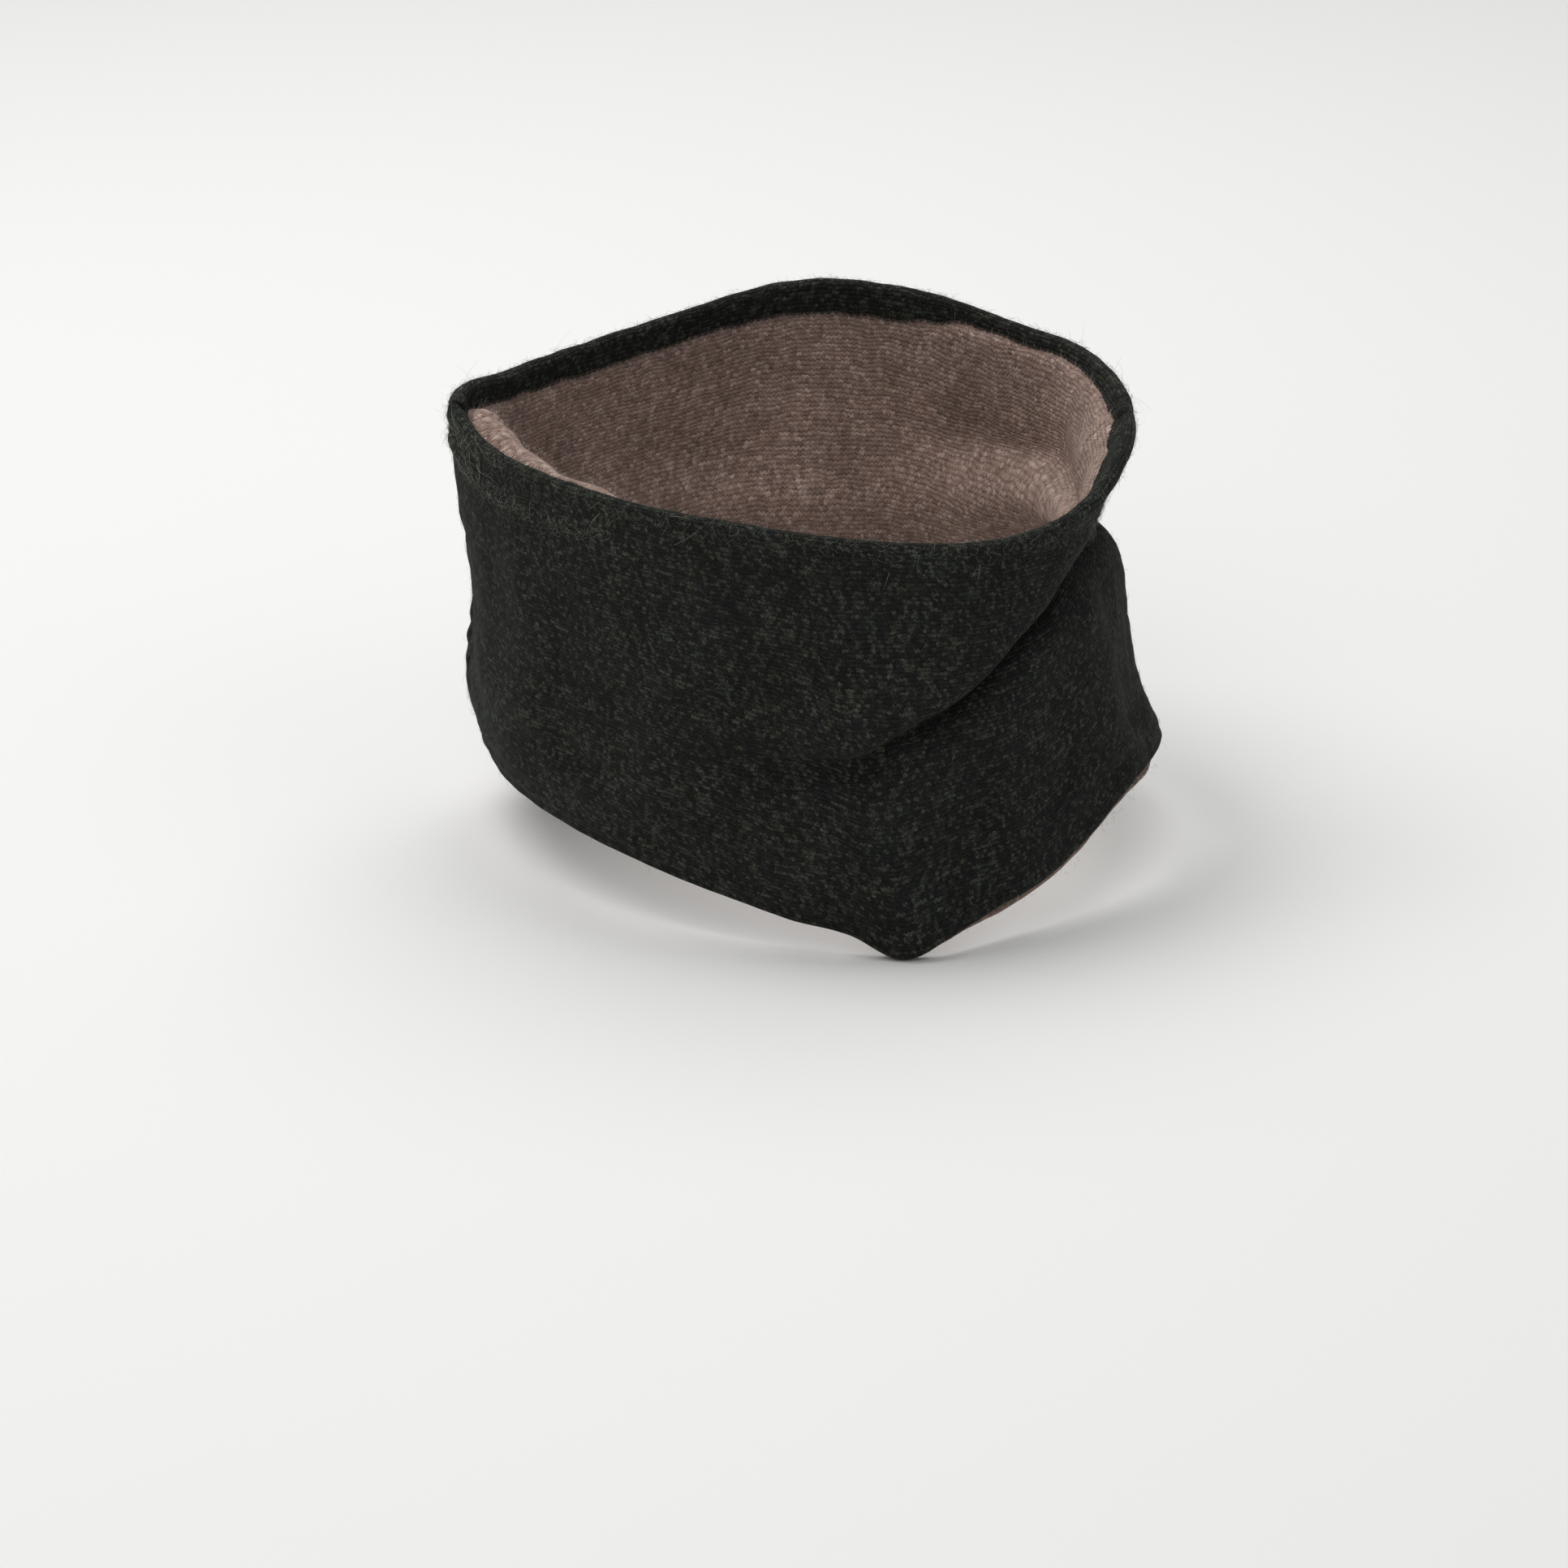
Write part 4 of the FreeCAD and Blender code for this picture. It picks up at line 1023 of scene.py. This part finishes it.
def woven_tape(name, pitch_across=0.42, pitch_down=0.36):
    """plain woven label tape, no lettering; pitches in mm"""
    g = Shader(name)
    uv = g.uv()
    u, v = g.split(uv)
    across = u * (2 * math.pi / pitch_across)
    down = v * (2 * math.pi / pitch_down)
    swap = g.math("GREATER_THAN", g.sine(down), 0.0) * math.pi
    weave = g.sine(across + swap) * g.sine(down) * 0.5 + 0.5
    cloud = g.noise(uv, scale=0.7, detail=3.0)
    color = g.mix((weave + cloud) * 0.5, (0.50, 0.46, 0.40, 1), (0.74, 0.70, 0.63, 1))
    g.surface({"Base Color": color, "Roughness": g.remap(cloud, (0.3, 0.7), (0.55, 0.75)),
               "Sheen Weight": 0.15})
    g.bump(weave, strength=0.7, distance_mm=0.08)
    return g.material


def floor_paint(name):
    """matt off-white with a faint mottle"""
    g = Shader(name)
    position = g.node("ShaderNodeNewGeometry", {}, output="Position")
    mottle = g.noise(position, scale=3.0) * 0.04
    g.surface({"Base Color": g.mix(mottle, (0.80, 0.80, 0.79, 1.0), (0.7, 0.7, 0.7, 1)),
               "Roughness": 0.9, "Specular IOR Level": 0.1})
    return g.material


outer_wool = wool(
    "outer_wool", dark=rgb(12, 14, 13), mid=rgb(35, 37, 34), fleck=rgb(84, 86, 76),
    hair_and_sheen_tone=rgb(70, 75, 67), wale=1.25, course=1.30, seed=3.0, sheen=0.05, relief=0.50,
    fleck_share=0.57, gap_shade_tone=0.30, hue_shift=0.035, closed=0.75)
lining_wool = wool(
    "lining_wool", dark=rgb(89, 71, 64), mid=rgb(167, 141, 129), fleck=rgb(210, 187, 175),
    hair_and_sheen_tone=rgb(212, 192, 180), wale=1.50, course=1.36, seed=8.0, sheen=0.12, relief=0.36,
    fleck_share=0.54, gap_shade_tone=0.44, hue_shift=0.008, closed=0.78)
outer_yarn = yarn("outer_yarn", dark=rgb(20, 23, 20), light=rgb(52, 56, 49))
lining_yarn = yarn("lining_yarn", dark=rgb(112, 92, 83), light=rgb(160, 136, 125))
outer_hair = hair_wool("outer_hair", dark=rgb(12, 14, 12), light=rgb(52, 55, 48), sheen=0.05)
lining_hair = hair_wool("lining_hair", dark=rgb(112, 90, 82), light=rgb(178, 154, 142))
label_tape = woven_tape("label_tape")


# ---------------------------------------------------------------- the four panels
def panel_angles(start, end, gap=0.01, crowding=3.0, width=3.0):
    """columns of a panel between two side seams, closer together near both seams"""
    low, high = wall.girth(start) + gap, wall.girth(end) - gap
    share = np.linspace(0, 1, 4000)
    span = high - low
    density = 1 + crowding * (bump(share * span, width) + bump((1 - share) * span, width))
    count = np.r_[0, np.cumsum((density[1:] + density[:-1]) / 2)]
    even = np.linspace(0, count[-1], PANEL_COLUMNS)
    return wall.angle_of(low + span * np.interp(even, count, share))


def wall_rows(angle, first, last, rows):
    """cloth lengths from first to last, closer together in the fold and at the ends"""
    first, last = first[:, None], last[:, None]
    down = first + (last - first) * np.linspace(0, 1, 900)[None]
    fold_at = (FOLD_AT(angle) * wall.length(angle))[:, None]
    density = (1 + 1.1 * ease(FOLD_SHARE, angle)[:, None] * bump(down - fold_at, 9.0)
               + 1.0 * bump(down - first, 4.0) + 1.3 * bump(last - down, 5.0))
    count = np.cumsum(density, 1)
    count = (count - count[:, :1]) / (count[:, -1:] - count[:, :1])
    even = np.linspace(0, 1, rows)
    return np.stack([np.interp(even, count[i], down[i]) for i in range(len(angle))])


def hem_thinning(angle, down):
    return HEM_PINCH * ramp((down - (wall.length(angle)[:, None] - 6.0)) / 3.5)


def panel(name, place, angle, runs, material, slot):
    """runs go once round the section of the cloth; each is cloth length, depth and knit row"""
    runs = [np.broadcast_arrays(*run) for run in runs]
    # the loop is turned by half the rounded hem, so that the hem is split evenly
    down, depth, row = [np.roll(np.concatenate(part, 1), 3, 1) for part in zip(*runs)]
    uv = np.stack([wall.girth(angle)[:, None] + 0 * row, row], -1)
    loft(name, place(angle[:, None], down, depth), uv, material, slot)


def outer_panel(name, start, end):
    angle = panel_angles(start, end)
    length = wall.length(angle)[:, None]
    edge = facing(angle)[:, None]
    hem = KNIT - HEM_PINCH
    last = wall.length(angle) - ease(SHORT, angle) - hem / 2
    up = wall_rows(angle, np.full(len(angle), 0.02), last, OUTER_ROWS)[:, ::-1]
    down = up[:, ::-1]
    roll = -np.linspace(0, 1, 16)[1:-1][None] * math.pi * ROLL + 0 * edge
    inside = edge * np.linspace(0, 1, 9)[None]
    end_down = edge + KNIT / 2 * np.sin(HALF_TURN) * 0.8
    end_depth = THICK - KNIT / 2 * (1 - np.cos(HALF_TURN))
    hem_down = last[:, None] + hem / 2 * np.sin(HALF_TURN)
    hem_depth = hem / 2 * (1 + np.cos(HALF_TURN))

    def hung(along):
        """knit rows run with the rim at the top and with the hem at the bottom"""
        return along / length * MEAN_LENGTH

    over = -math.pi * ROLL      # knit row where the roll ends and the facing starts
    panel(name, wall.place, angle, [
        (up, 0.0, hung(up)),
        (roll, 0.0, roll),
        (inside, THICK, over - inside),
        (end_down, end_depth, over - end_down),
        (inside[:, ::-1], KNIT + SPACE, over - inside[:, ::-1]),
        (roll[:, ::-1], KNIT, roll[:, ::-1]),
        (down, KNIT - hem_thinning(angle, down), hung(down)),
        (hem_down, hem_depth, hung(hem_down)),
    ], outer_wool, "outer_knit")


def lining_panel(name, start, end):
    angle = panel_angles(start, end)
    length = wall.length(angle)
    edge = facing(angle)
    hem = KNIT - HEM_PINCH
    first = edge + 0.9 + KNIT / 2 * 0.8
    down = wall_rows(angle, first, length - hem / 2, LINING_ROWS)
    below = down - edge[:, None]
    seam = np.minimum(*wall.seam_distances(angle))[:, None]
    # inner face: groove at the facing seam and at the side seams, soft unevenness
    uneven = waves(21, 10, 14, 42, wall.girth(angle)[:, None], down, wall.total)
    dip = 0.55 * bump(below - 0.8, 1.6) + 0.55 * bump(seam, 1.1) + 0.15 * bump(seam, 3.5)
    dip = dip - 0.16 * uneven * np.clip(below / 8, 0, 1)
    end_down = first[:, None] - KNIT / 2 * 0.8 * np.sin(HALF_TURN)
    end_depth = (KNIT - 0.5) / 2 * (1 - np.cos(HALF_TURN))
    hem_down = (length - hem / 2)[:, None] + hem / 2 * np.sin(HALF_TURN)
    hem_depth = HEM_PINCH + hem / 2 * (1 + np.cos(HALF_TURN))
    runs = [(down, KNIT - dip), (hem_down, hem_depth),
            (down[:, ::-1], hem_thinning(angle, down)[:, ::-1]), (end_down, end_depth)]
    panel(name, lining.place, angle,
          [(along, depth, along / length[:, None] * MEAN_LENGTH) for along, depth in runs],
          lining_wool, "lining_knit")


for make_panel, layer in ((outer_panel, "outer"), (lining_panel, "lining")):
    make_panel(layer + "_front_panel", 0.0, 180.0)
    make_panel(layer + "_back_panel", 180.0, 360.0)


# ---------------------------------------------------------------- seam yarns, mm
LINK_PITCH = 1.9        # one linked stitch of a side seam
LINK_STEPS = 8          # points in one stitch of any seam
LINK_SWAY = 0.85        # how far the linked yarn swings to each side


def side_seam(name, angle, top, foot, place, depth, lift, cores, dive, radii, material, slot):
    """a linked yarn that crosses the seam groove, and a straight core yarn in the groove.

    lift is the linked yarn's change of depth as it crosses; cores is the core yarn's step count
    and extra depth; dive draws both yarns towards the outer cloth at their top ends."""
    bottom = float(wall.length(angle)) - foot
    links = int((bottom - top) / LINK_PITCH * LINK_STEPS)
    core_steps, core_depth = cores
    parts = []
    for steps, sway, extra, swing, radius in ((links, LINK_SWAY, 0.0, lift, radii[0]),
                                              (core_steps, 0.0, core_depth, 0.0, radii[1])):
        stitch = np.arange(steps + 1) / LINK_STEPS
        phase = 2 * math.pi * stitch
        around = wall.girth(angle) + sway * np.sin(phase)
        depths = (depth + extra + swing * np.cos(phase) ** 2
                  - dive * np.clip(1 - stitch / 1.5, 0, 1) ** 2)
        points = place(wall.angle_of(around % wall.total),
                       np.linspace(top, bottom, steps + 1), depths)
        parts.append(tube(points, radius, ply=0.16))
    new_piece(name, *join_tubes(parts), material, slot)


def ring_seam(name, down_at, depth, sway, lift, pitch, radius, material, slot):
    """zigzag yarn right round the tube over a join"""
    stitches = int(round(wall.total / pitch))
    stitch = np.arange(stitches * LINK_STEPS) / LINK_STEPS
    phase = 2 * math.pi * stitch
    angle = wall.angle_of(wall.total * stitch / stitches)
    points = wall.place(angle, down_at(angle) + sway * np.sin(phase),
                        depth + lift * np.cos(phase) ** 2)
    new_piece(name, *tube(points, radius, ply=0.14, closed=True), material, slot)


for side, angle in (("left", 0.0), ("right", 180.0)):
    side_seam("outer_%s_seam_thread" % side, angle, top=2.2, foot=3.2, place=wall.place,
              depth=1.15, lift=-0.42, cores=(119, 0.55), dive=0.0, radii=(0.30, 0.33),
              material=outer_yarn, slot="outer_yarn")
for side, angle in (("left", 0.0), ("right", 180.0)):
    side_seam("lining_%s_seam_thread" % side, angle, top=float(facing(angle)) + 5.0, foot=4.2,
              place=lining.place, depth=KNIT - 1.10, lift=0.34, cores=(120, -0.5), dive=1.2,
              radii=(0.30, 0.30), material=lining_yarn, slot="lining_yarn")
ring_seam("top_edge_seam_thread", lambda angle: facing(angle) + 0.95, depth=THICK - 0.62,
          sway=0.62, lift=0.30, pitch=2.3, radius=0.24, material=outer_yarn, slot="outer_yarn")
ring_seam("bottom_edge_seam_thread", lambda angle: wall.length(angle) - 2.4, depth=ROLL,
          sway=0.5, lift=-0.30, pitch=3.0, radius=0.20, material=lining_yarn,
          slot="lining_yarn")

# ---------------------------------------------------------------- care label, mm
LABEL_ANGLE = 353.6         # its middle, just behind the left seam
LABEL_WIDTH = 16.0
LABEL_THICK = 0.38
LABEL_COLUMNS, LABEL_ROWS = 26, 40
LABEL_DEPTH = KNIT + 0.75   # its outer side at the seam, from the lining's outer side
LABEL_STITCHES, STITCH_POINTS = 9, 7


def label_span():
    """cloth lengths at the top and the foot of the label's box"""
    low, high = [float(corner[2]) * 1000 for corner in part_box("care_label")]
    down = np.linspace(0, float(wall.length(LABEL_ANGLE)), 400)
    line_z = wall.place(LABEL_ANGLE, down, THICK + 1.0)[:, 2]
    return [float(np.interp(-z, -line_z, down)) for z in (high, low)]


def care_label(top, foot):
    """blank label on the lining, its higher-angle edge at the left seam and the other one free"""
    across = np.linspace(-LABEL_WIDTH / 2, LABEL_WIDTH / 2, LABEL_COLUMNS)[:, None]
    angle = wall.angle_of(wall.girth(LABEL_ANGLE) + across)
    free = np.linspace(1, 0, LABEL_COLUMNS)[:, None]
    share = np.linspace(0, 1, LABEL_ROWS)[None]
    down = top + (foot - top) * share + 0 * across
    # the free edge stands off and ripples
    depth = (LABEL_DEPTH + 1.5 * free ** 1.5 + 0.5 * np.sin(share * 3.0) * free
             + 0.12 * np.sin(share * 9 + free * 4))
    points = np.concatenate([lining.place(angle, down, depth),
                             lining.place(angle, down, depth + LABEL_THICK)[:, ::-1]], 1)
    rows = np.concatenate([down - top, (down - top)[:, ::-1]], 1)
    uv = np.stack([across + 0 * rows, rows], -1)
    loft("care_label", points, uv, label_tape, "label_tape")


def label_stitches(top, foot):
    """close stitches that hold the label's seam edge"""
    around = (wall.girth(LABEL_ANGLE) + LABEL_WIDTH / 2
              + np.linspace(-2.2, 1.2, STITCH_POINTS))
    angle = wall.angle_of(np.minimum(around, wall.total - 0.01))
    depth = LABEL_DEPTH + 0.50 * np.sin(np.linspace(0, math.pi, STITCH_POINTS))
    slant = 0.10 * np.arange(STITCH_POINTS)
    parts = []
    for i in range(LABEL_STITCHES):
        down = top + (foot - top) * (i + 0.5) / LABEL_STITCHES
        parts.append(tube(lining.place(angle, down + slant, depth), 0.16))
    new_piece("label_stitches", *join_tubes(parts), lining_yarn, "label_tape", replaces=False)


label_top, label_foot = label_span()
care_label(label_top, label_foot)
label_stitches(label_top, label_foot)

# ---------------------------------------------------------------- loose wool hair
HAIR_SHARE = 1.0
ROOT_DEPTH = KNIT - 0.05        # lining hairs are rooted just under its inner side


def hair_count(count):
    return int(count * HAIR_SHARE)


def fibres(name, roots, outward, along, material, slot, seed,
           length=(0.9, 3.2), lift=(0.10, 0.85), radius=0.027):
    """short loose fibres: closed three-sided hairs along the surface and a little out"""
    rng = np.random.RandomState(seed)
    count = len(roots)
    heading = (rng.rand(count) * 2 * math.pi)[:, None]
    direction = along * np.cos(heading) + np.cross(outward, along) * np.sin(heading)
    lengths = length[0] + (length[1] - length[0]) * rng.rand(count) ** 1.6
    lifts = lift[0] + (lift[1] - lift[0]) * rng.rand(count) ** 2.0
    bend = rng.randn(count) * 0.55
    side = np.cross(outward, direction)
    line = np.empty((count, 4, 3))
    for i, share in enumerate((0.0, 0.36, 0.7, 1.0)):
        height = (lifts * lengths * 0.55 * math.sin(math.pi * (0.12 + 0.62 * share))
                  - 0.10 + 0.10 * share)
        line[:, i] = (roots + direction * (lengths * share)[:, None]
                      + side * (bend * lengths * 0.35 * share * share)[:, None]
                      + outward * height[:, None])
    tangent = unit(np.gradient(line, axis=1))
    first = unit(np.cross(tangent, outward[:, None]), 1e-9)
    second = np.cross(tangent, first)
    taper = (radius * np.array([1.0, 0.9, 0.65, 0.25]))[None, :, None]
    verts = np.empty((count, 4, 3, 3))
    for corner in range(3):
        theta = corner * 2 * math.pi / 3
        verts[:, :, corner] = line + taper * (first * math.cos(theta) + second * math.sin(theta))
    base = (np.arange(count) * 12)[:, None]
    quads = []
    for i in range(3):
        for j in range(3):
            k = (j + 1) % 3
            quads.append(base + np.array([[i * 3 + j, i * 3 + k, i * 3 + 3 + k, i * 3 + 3 + j]]))
    ends = [base + np.array([[2, 1, 0]]), base + np.array([[9, 10, 11]])]
    # each hair has one random uv point, which gives it its own tone
    uv = np.stack([np.repeat(rng.rand(count) * 400, 12), np.repeat(rng.rand(count) * 400, 12)], -1)
    new_piece(name, verts, [np.concatenate(quads), np.concatenate(ends)], uv, material, slot,
              replaces=False)


def outer_roots(angle, down):
    """root points, outward and downward directions on the outer face and round the roll"""
    _, outward, downward = wall.at(angle, np.maximum(down, 0))
    turn = np.clip(-np.minimum(down, 0) / ROLL, 0, None)[:, None]
    return (wall.place(angle, down, 0.0), outward * np.cos(turn) - downward * np.sin(turn),
            downward * np.cos(turn) + outward * np.sin(turn))


def lining_roots(angle, down):
    """the same on the lining's inner face, kept clear of the facing"""
    _, outward, downward = wall.at(angle, down)
    down = np.maximum(down, facing(angle) + 2.2)
    return lining.place(angle, down, ROOT_DEPTH), -outward, downward


def scatter(seed, count, start, end, top, bottom):
    """angles and cloth lengths spread evenly over a strip of the cloth"""
    rng = np.random.RandomState(seed)
    count = hair_count(count)
    low, high = wall.girth(start), wall.girth(end)
    angle = wall.angle_of(low + 1.0 + (high - low - 2.0) * rng.rand(count))
    bottom = np.minimum(wall.length(angle) - 0.4, bottom)
    return angle, top + (bottom - top) * rng.rand(count)


WHOLE = 400             # further down than any hem
ROLL_END = -math.pi * ROLL
# piece, fibre seed, strips: (seed, count, start angle, end angle, top, bottom)
OUTER_HAIR = [
    ("outer_front_hair", 41, [(31, 6600, 0, 180, 0.0, WHOLE), (32, 2600, 0, 180, ROLL_END, 3.0)]),
    ("outer_back_hair", 42, [(33, 6000, 180, 360, 0.0, WHOLE),
                             (34, 2600, 180, 360, ROLL_END, 3.0)]),
]
LINING_HAIR = [
    ("lining_front_hair", 43, [(35, 6200, 0, 180, 4.0, WHOLE), (36, 2600, 0, 110, 4.0, 22)]),
    ("lining_back_hair", 44, [(37, 6400, 180, 360, 4.0, WHOLE), (38, 2200, 180, 360, 4.0, 16)]),
]
for table, roots_of, material, slot in (
        (OUTER_HAIR, outer_roots, outer_hair, "outer_knit"),
        (LINING_HAIR, lining_roots, lining_hair, "lining_knit")):
    for name, seed, strips in table:
        sets = [roots_of(*scatter(*strip)) for strip in strips]
        roots, outward, along = [np.concatenate(part) for part in zip(*sets)]
        fibres(name, roots, outward, along, material, slot, seed)


def rim_lint(rng):
    """pale lint on the pressed ridge below the rim, front left and right, and on the rim"""
    count = hair_count(3000)
    left = right = count // 4
    rest = count - left - right
    angle = np.r_[(rng.rand(left) ** 1.5 * 58.0 - 6.0) % 360, 150.0 + rng.rand(right) * 34.0,
                  rng.rand(rest) * 360.0]
    down = np.r_[8.8 + rim_ridge_line(angle[:left]) + rng.randn(left) * 1.9,
                 9.0 + rng.randn(right) * 2.0, rng.randn(rest) * 2.4]
    pale = hair_wool("pale_lint", dark=rgb(70, 74, 66), light=rgb(142, 146, 130))
    fibres("rim_lint", *outer_roots(angle, down), pale, "outer_knit", 45,
           length=(1.0, 4.2), radius=0.030)


def pillow_lint(rng):
    """pale lint on the lining's pillow, front left and back right"""
    count = hair_count(1300)
    front = count * 2 // 3
    angle = np.r_[rng.rand(front) ** 1.2 * 84.0 - 8.0,
                  180.0 + rng.rand(count - front) * 60.0] % 360
    down = facing(angle) + 1.6 + rng.rand(count) ** 1.3 * 11.0
    downward = wall.at(angle, down)[2]
    roots = lining.place(angle, down, ROOT_DEPTH)
    inward = lining.place(angle, down, ROOT_DEPTH + 1.0) - roots
    pale = hair_wool("pale_lining_lint", dark=rgb(150, 128, 118), light=rgb(226, 208, 198))
    fibres("pillow_lint", roots, inward, downward, pale, "lining_knit", 46,
           length=(1.2, 4.4), lift=(0.3, 1.2), radius=0.028)


def stray_hairs(rng):
    """a few long hairs, most of them at the two ends of the opening"""
    count = hair_count(110)
    left, right = count // 2, count // 4
    angle = np.r_[rng.rand(left) * 30.0 - 10.0, 168.0 + rng.rand(right) * 34.0,
                  rng.rand(count - left - right) * 360.0] % 360
    down = rng.rand(count) * 13.0 - 4.5
    pale = hair_wool("pale_stray", dark=rgb(112, 114, 100), light=rgb(186, 186, 170))
    fibres("stray_hairs", *outer_roots(angle, down), pale, "outer_knit", 47,
           length=(3.5, 11.0), lift=(0.1, 0.55), radius=0.034)


# the three draw from one generator, so their order matters
lint_rng = np.random.RandomState(51)
rim_lint(lint_rng)
pillow_lint(lint_rng)
stray_hairs(lint_rng)

# ---------------------------------------------------------------- stage, light and camera, m
FLOOR_HALF = 14.0
FLOOR_GAP = 0.0004      # below the lowest point of the frame
WORLD_COLOR, WORLD_STRENGTH = (0.96, 0.98, 1.0, 1.0), 0.185
# name, x and y from the object's centre, height, size, power in W, colour
LIGHTS = [
    ("key", -0.80, 0.22, 1.75, 1.3, 18.5, (1.0, 0.985, 0.965)),
    ("front", -0.45, -1.40, 1.35, 1.2, 8.5, (1, 1, 1)),
    ("fill", 1.35, -0.85, 1.10, 1.4, 3.4, (0.96, 0.98, 1.0)),
    ("top", 0.05, 0.95, 1.80, 1.8, 22.5, (1, 1, 1)),
]
CAMERA_AT = (-0.0095, -1.4050, 0.5909)
CAMERA_TILT = 22.37             # degrees below level
SENSOR, LENS = 36.0, 114.5962733        # mm


def make_floor():
    z = CAD_LO[2] - FLOOR_GAP
    half = FLOOR_HALF
    mesh = bpy.data.meshes.new("floor")
    mesh.from_pydata([(-half, -half, z), (half, -half, z), (half, half, z), (-half, half, z)],
                     [], [(0, 1, 2, 3)])
    floor = bpy.data.objects.new("floor", mesh)
    bpy.context.scene.collection.objects.link(floor)
    mesh.materials.append(floor_paint("pale_floor"))


def make_world():
    world = bpy.data.worlds.new("studio")
    bpy.context.scene.world = world
    world.use_nodes = True
    background = world.node_tree.nodes["Background"]
    background.inputs["Color"].default_value = WORLD_COLOR
    background.inputs["Strength"].default_value = WORLD_STRENGTH


def make_light(name, location, target, size, power, color):
    """square area light that faces the target"""
    data = bpy.data.lights.new(name, "AREA")
    data.shape = "SQUARE"
    data.size = size
    data.energy = power
    data.color = color
    light = bpy.data.objects.new(name, data)
    bpy.context.scene.collection.objects.link(light)
    light.location = location
    aim = unit(np.array(target, float) - np.array(location, float))
    light.rotation_euler = (math.acos(-aim[2]), 0.0, -math.atan2(aim[0], aim[1]))


def make_camera():
    data = bpy.data.cameras.new("camera")
    camera = bpy.data.objects.new("camera", data)
    bpy.context.scene.collection.objects.link(camera)
    data.sensor_width = SENSOR
    data.lens = LENS
    data.clip_start = 0.05
    data.clip_end = 60.0
    camera.location = CAMERA_AT
    camera.rotation_euler = (math.radians(90.0 - CAMERA_TILT), 0.0, 0.0)
    bpy.context.scene.camera = camera


make_floor()
make_world()
centre = [(low + high) / 2 for low, high in zip(CAD_LO, CAD_HI)]
for name, x, y, height, size, power, color in LIGHTS:
    make_light(name, (centre[0] + x, centre[1] + y, height), centre, size, power, color)
bpy.context.scene.view_settings.view_transform = "Standard"
make_camera()
